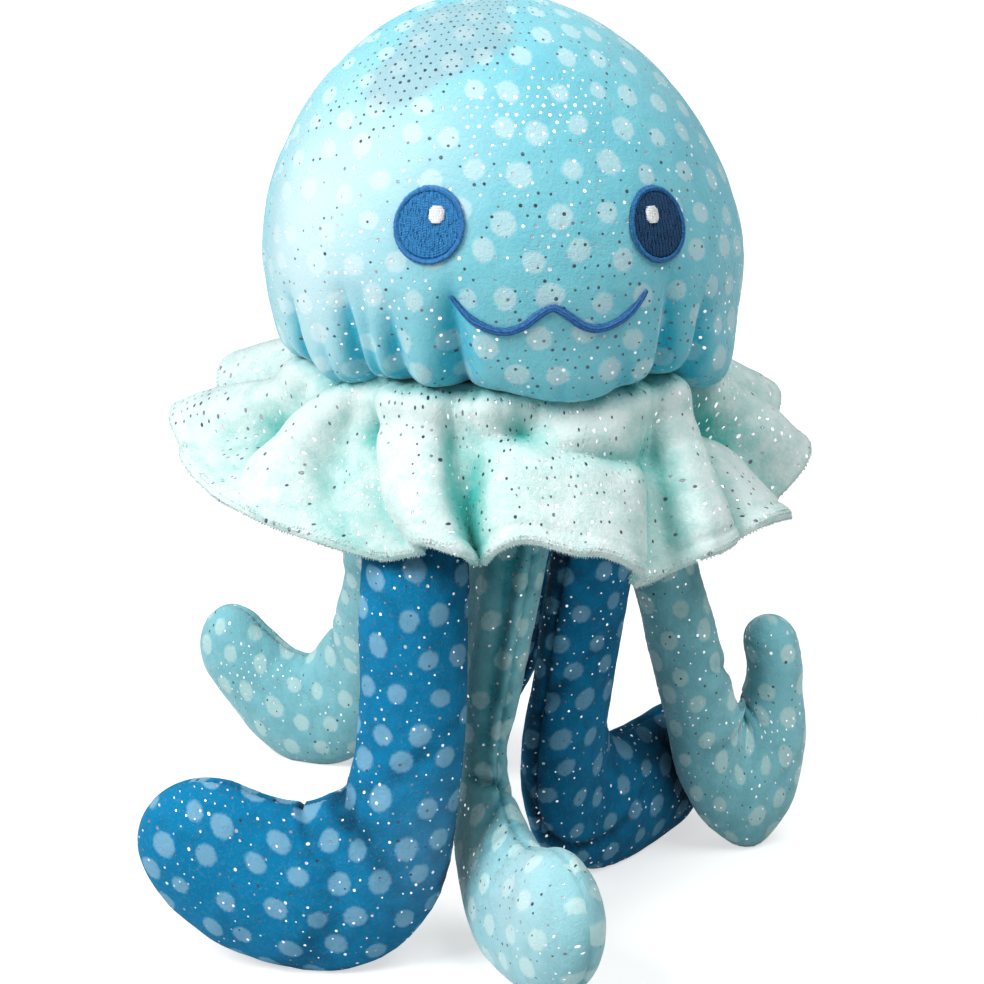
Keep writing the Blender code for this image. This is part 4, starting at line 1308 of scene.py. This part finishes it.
def glintStitches(azimuth, z):
    e = eyeShape
    half = e["glint"] / 2
    lines = []
    for up in np.arange(-half + 0.2 * mm, half, 0.4 * mm):
        cut = max(0.0, abs(up) - half * 0.55)
        reach = half - cut * 0.9
        lines.append(arch(azimuth, z, (-reach, up), (reach, up), e["fillLift"] + 0.1 * mm,
                          e["fillLift"] + 0.75 * mm, 7))
    return lines


def makeEye(node, azimuth, z, look, seed):
    e = eyeShape
    inner = e["radius"] - e["rim"] + 0.1 * mm
    pad = groundPad(azimuth, z, circle(inner, 40), 0.1 * mm, e["fillLift"] - 0.2 * mm)
    fill = threadPiece(look + "Fill", fillStitches(azimuth, z, inner, seed), e["thread"],
                       threads[look], pad)
    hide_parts(node)
    rim = threadPiece(look + "Rim", rimStitches(azimuth, z, seed + 1), e["thread"] * 1.05,
                      threads[look + "Rim"])
    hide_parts(node + "_rim")
    inward = e["glintInward"] / headShape["radius"] * 180.0 / pi
    glintZ = z + e["glintUp"]
    spot = azimuth + (inward if azimuth < 0 else -inward)
    half = e["glint"] / 2 * 0.93
    square = [(half, half * 0.5), (half * 0.5, half), (-half * 0.5, half), (-half, half * 0.5),
              (-half, -half * 0.5), (-half * 0.5, -half), (half * 0.5, -half), (half, -half * 0.5)]
    pad = groundPad(spot, glintZ, square, e["fillLift"], e["fillLift"] + 0.45 * mm)
    glint = threadPiece(look + "Glint", glintStitches(spot, glintZ), e["thread"] * 1.1,
                        threads["glint"], pad)
    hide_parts(node + "_glint")


for seed, (node, (azimuth, z, look)) in enumerate(eyes.items()):
    makeEye(node, azimuth, z, look, 70 + 5 * seed)
print("eyes stitched")


# Mouth: one line of satin stitches, tapered at the corners
mouthShape = {
    "azimuth": -1.2,
    "width": 2.3 * mm,
    "endWidth": 1.1 * mm,
    "half": [(0, 193.7), (3.5, 192), (8, 188.8), (13, 187.4), (18.5, 188.8), (23.5, 192),
             (27.5, 196.5)],
    "pitch": 0.36 * mm,
    "thread": 0.21 * mm,
    "lift": 1.2 * mm,
}


def mouthStitches():
    m = mouthShape
    half = [(a * mm, z * mm) for a, z in m["half"]]
    line = catmull([(-a, z) for a, z in reversed(half[1:])] + half, 30)
    lengths = lengthsAlong(line)
    spots = np.arange(0, lengths[-1], m["pitch"])
    middle = resample(line, lengths, spots)
    way = np.gradient(middle, axis=0)
    way /= np.linalg.norm(way, axis=1, keepdims=True)
    rng = np.random.default_rng(90)
    lines = []
    for k, spot in enumerate(spots):
        taper = min(1.0, min(spot, lengths[-1] - spot) / (9 * mm)) ** 0.7
        width = m["endWidth"] + (m["width"] - m["endWidth"]) * taper
        side = np.array([-way[k][1], way[k][0]]) * (width / 2 + rng.uniform(-0.07, 0.07) * mm)
        slant = way[k] * 0.28 * mm
        start = middle[k] - side - slant
        end = middle[k] + side + slant
        rise = m["lift"] * (0.6 + 0.4 * taper)
        lines.append(arch(m["azimuth"], 0.0, start, end, 0.15 * mm, rise, 8))
    return lines


def makeMouth():
    piece = threadPiece("mouthStitching", mouthStitches(), mouthShape["thread"], threads["mouth"])
    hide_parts("mouth")


makeMouth()
print("mouth stitched")


# Camera, floor and studio light: angles in degrees, distances and sizes in metres
viewpoint = {"azimuth": -12.0, "elevation": 15.0, "distance": 0.70, "height": 0.125,
             "lens": 85.24, "shift": -0.0112}


def makeCamera():
    v = viewpoint
    aim = Vector((axisX, axisY, v["height"]))
    flat = polar(v["distance"] * cos(radians(v["elevation"])), v["azimuth"],
                 v["distance"] * sin(radians(v["elevation"])))
    camera = bpy.data.objects.new("camera", bpy.data.cameras.new("camera"))
    bpy.context.scene.collection.objects.link(camera)
    camera.location = aim + Vector(flat.tolist())
    camera.rotation_euler = (aim - camera.location).to_track_quat("-Z", "Y").to_euler()
    camera.data.lens = v["lens"]
    camera.data.sensor_width = 36.0
    camera.data.shift_x = v["shift"]
    camera.data.clip_start = 0.01
    bpy.context.scene.camera = camera


lights = {
    "key": {"azimuth": -68, "elevation": 38, "distance": 1.3, "size": 0.75, "power": 16.0},
    "fill": {"azimuth": 38, "elevation": 60, "distance": 1.4, "size": 0.8, "power": 10.3},
    "top": {"azimuth": 150, "elevation": 72, "distance": 1.4, "size": 0.8, "power": 3.0},
}


def makeLight(name, azimuth, elevation, distance, size, power):
    lamp = bpy.data.lights.new(name, "AREA")
    lamp.shape = "DISK"
    lamp.size = size
    lamp.energy = power
    light = bpy.data.objects.new(name, lamp)
    bpy.context.scene.collection.objects.link(light)
    aim = Vector((axisX, axisY, 0.15))
    away = polar(distance * cos(radians(elevation)), azimuth, distance * sin(radians(elevation)))
    light.location = aim + Vector(away.tolist())
    light.rotation_euler = (aim - light.location).to_track_quat("-Z", "Y").to_euler()


def seenRays(tree):
    # 1 for rays that should see the plain white background
    path = put(tree, "ShaderNodeLightPath").outputs
    seen = maths(tree, "ADD", path["Is Camera Ray"], path["Is Glossy Ray"])
    seen = maths(tree, "ADD", seen, path["Is Transmission Ray"])
    return maths(tree, "MINIMUM", seen, 1.0)


def makeWorld():
    world = bpy.data.worlds.new("studio")
    bpy.context.scene.world = world
    world.use_nodes = True
    tree = world.node_tree
    soft = tree.nodes["Background"]
    soft.inputs[0].default_value = (1.0, 1.0, 1.0, 1.0)
    soft.inputs[1].default_value = 0.15
    white = put(tree, "ShaderNodeBackground", [(1.0, 1.0, 1.0, 1.0), 1.0])
    mixed = put(tree, "ShaderNodeMixShader", [seenRays(tree)])
    tree.links.new(soft.outputs[0], mixed.inputs[1])
    tree.links.new(white.outputs[0], mixed.inputs[2])
    tree.links.new(mixed.outputs[0], tree.nodes["World Output"].inputs["Surface"])


floorLook = {"size": 12.0, "colour": (0.62, 0.63, 0.63, 1.0), "glow": 0.62, "nearEdge": 0.25,
             "farEdge": 0.8}


def makeFloor():
    material = bpy.data.materials.new("floorWhite")
    material.use_nodes = True
    tree = material.node_tree
    tree.nodes.remove(tree.nodes["Principled BSDF"])
    matt = put(tree, "ShaderNodeBsdfDiffuse", [floorLook["colour"]])
    place = put(tree, "ShaderNodeTexCoord").outputs["Object"]
    away = put(tree, "ShaderNodeVectorMath", [place], operation="LENGTH").outputs["Value"]
    far = ramp(tree, away, floorLook["nearEdge"], floorLook["farEdge"], floorLook["glow"], 1.0)
    glow = put(tree, "ShaderNodeEmission", [(1.0, 1.0, 1.0, 1.0),
                                           maths(tree, "MULTIPLY", seenRays(tree), far)])
    both = put(tree, "ShaderNodeAddShader", [matt.outputs[0], glow.outputs[0]])
    tree.links.new(both.outputs[0], tree.nodes["Material Output"].inputs["Surface"])
    mesh = bpy.data.meshes.new("floor")
    size = floorLook["size"]
    corners = [(-size, -size, 0), (size, -size, 0), (size, size, 0), (-size, size, 0)]
    mesh.from_pydata(corners, [], [(0, 1, 2, 3)])
    mesh.materials.append(material)
    floor = bpy.data.objects.new("floor", mesh)
    bpy.context.scene.collection.objects.link(floor)


makeCamera()
for name, values in lights.items():
    makeLight(name, **values)
makeWorld()
makeFloor()
bpy.context.scene.view_settings.view_transform = "Standard"
print("camera and light placed")
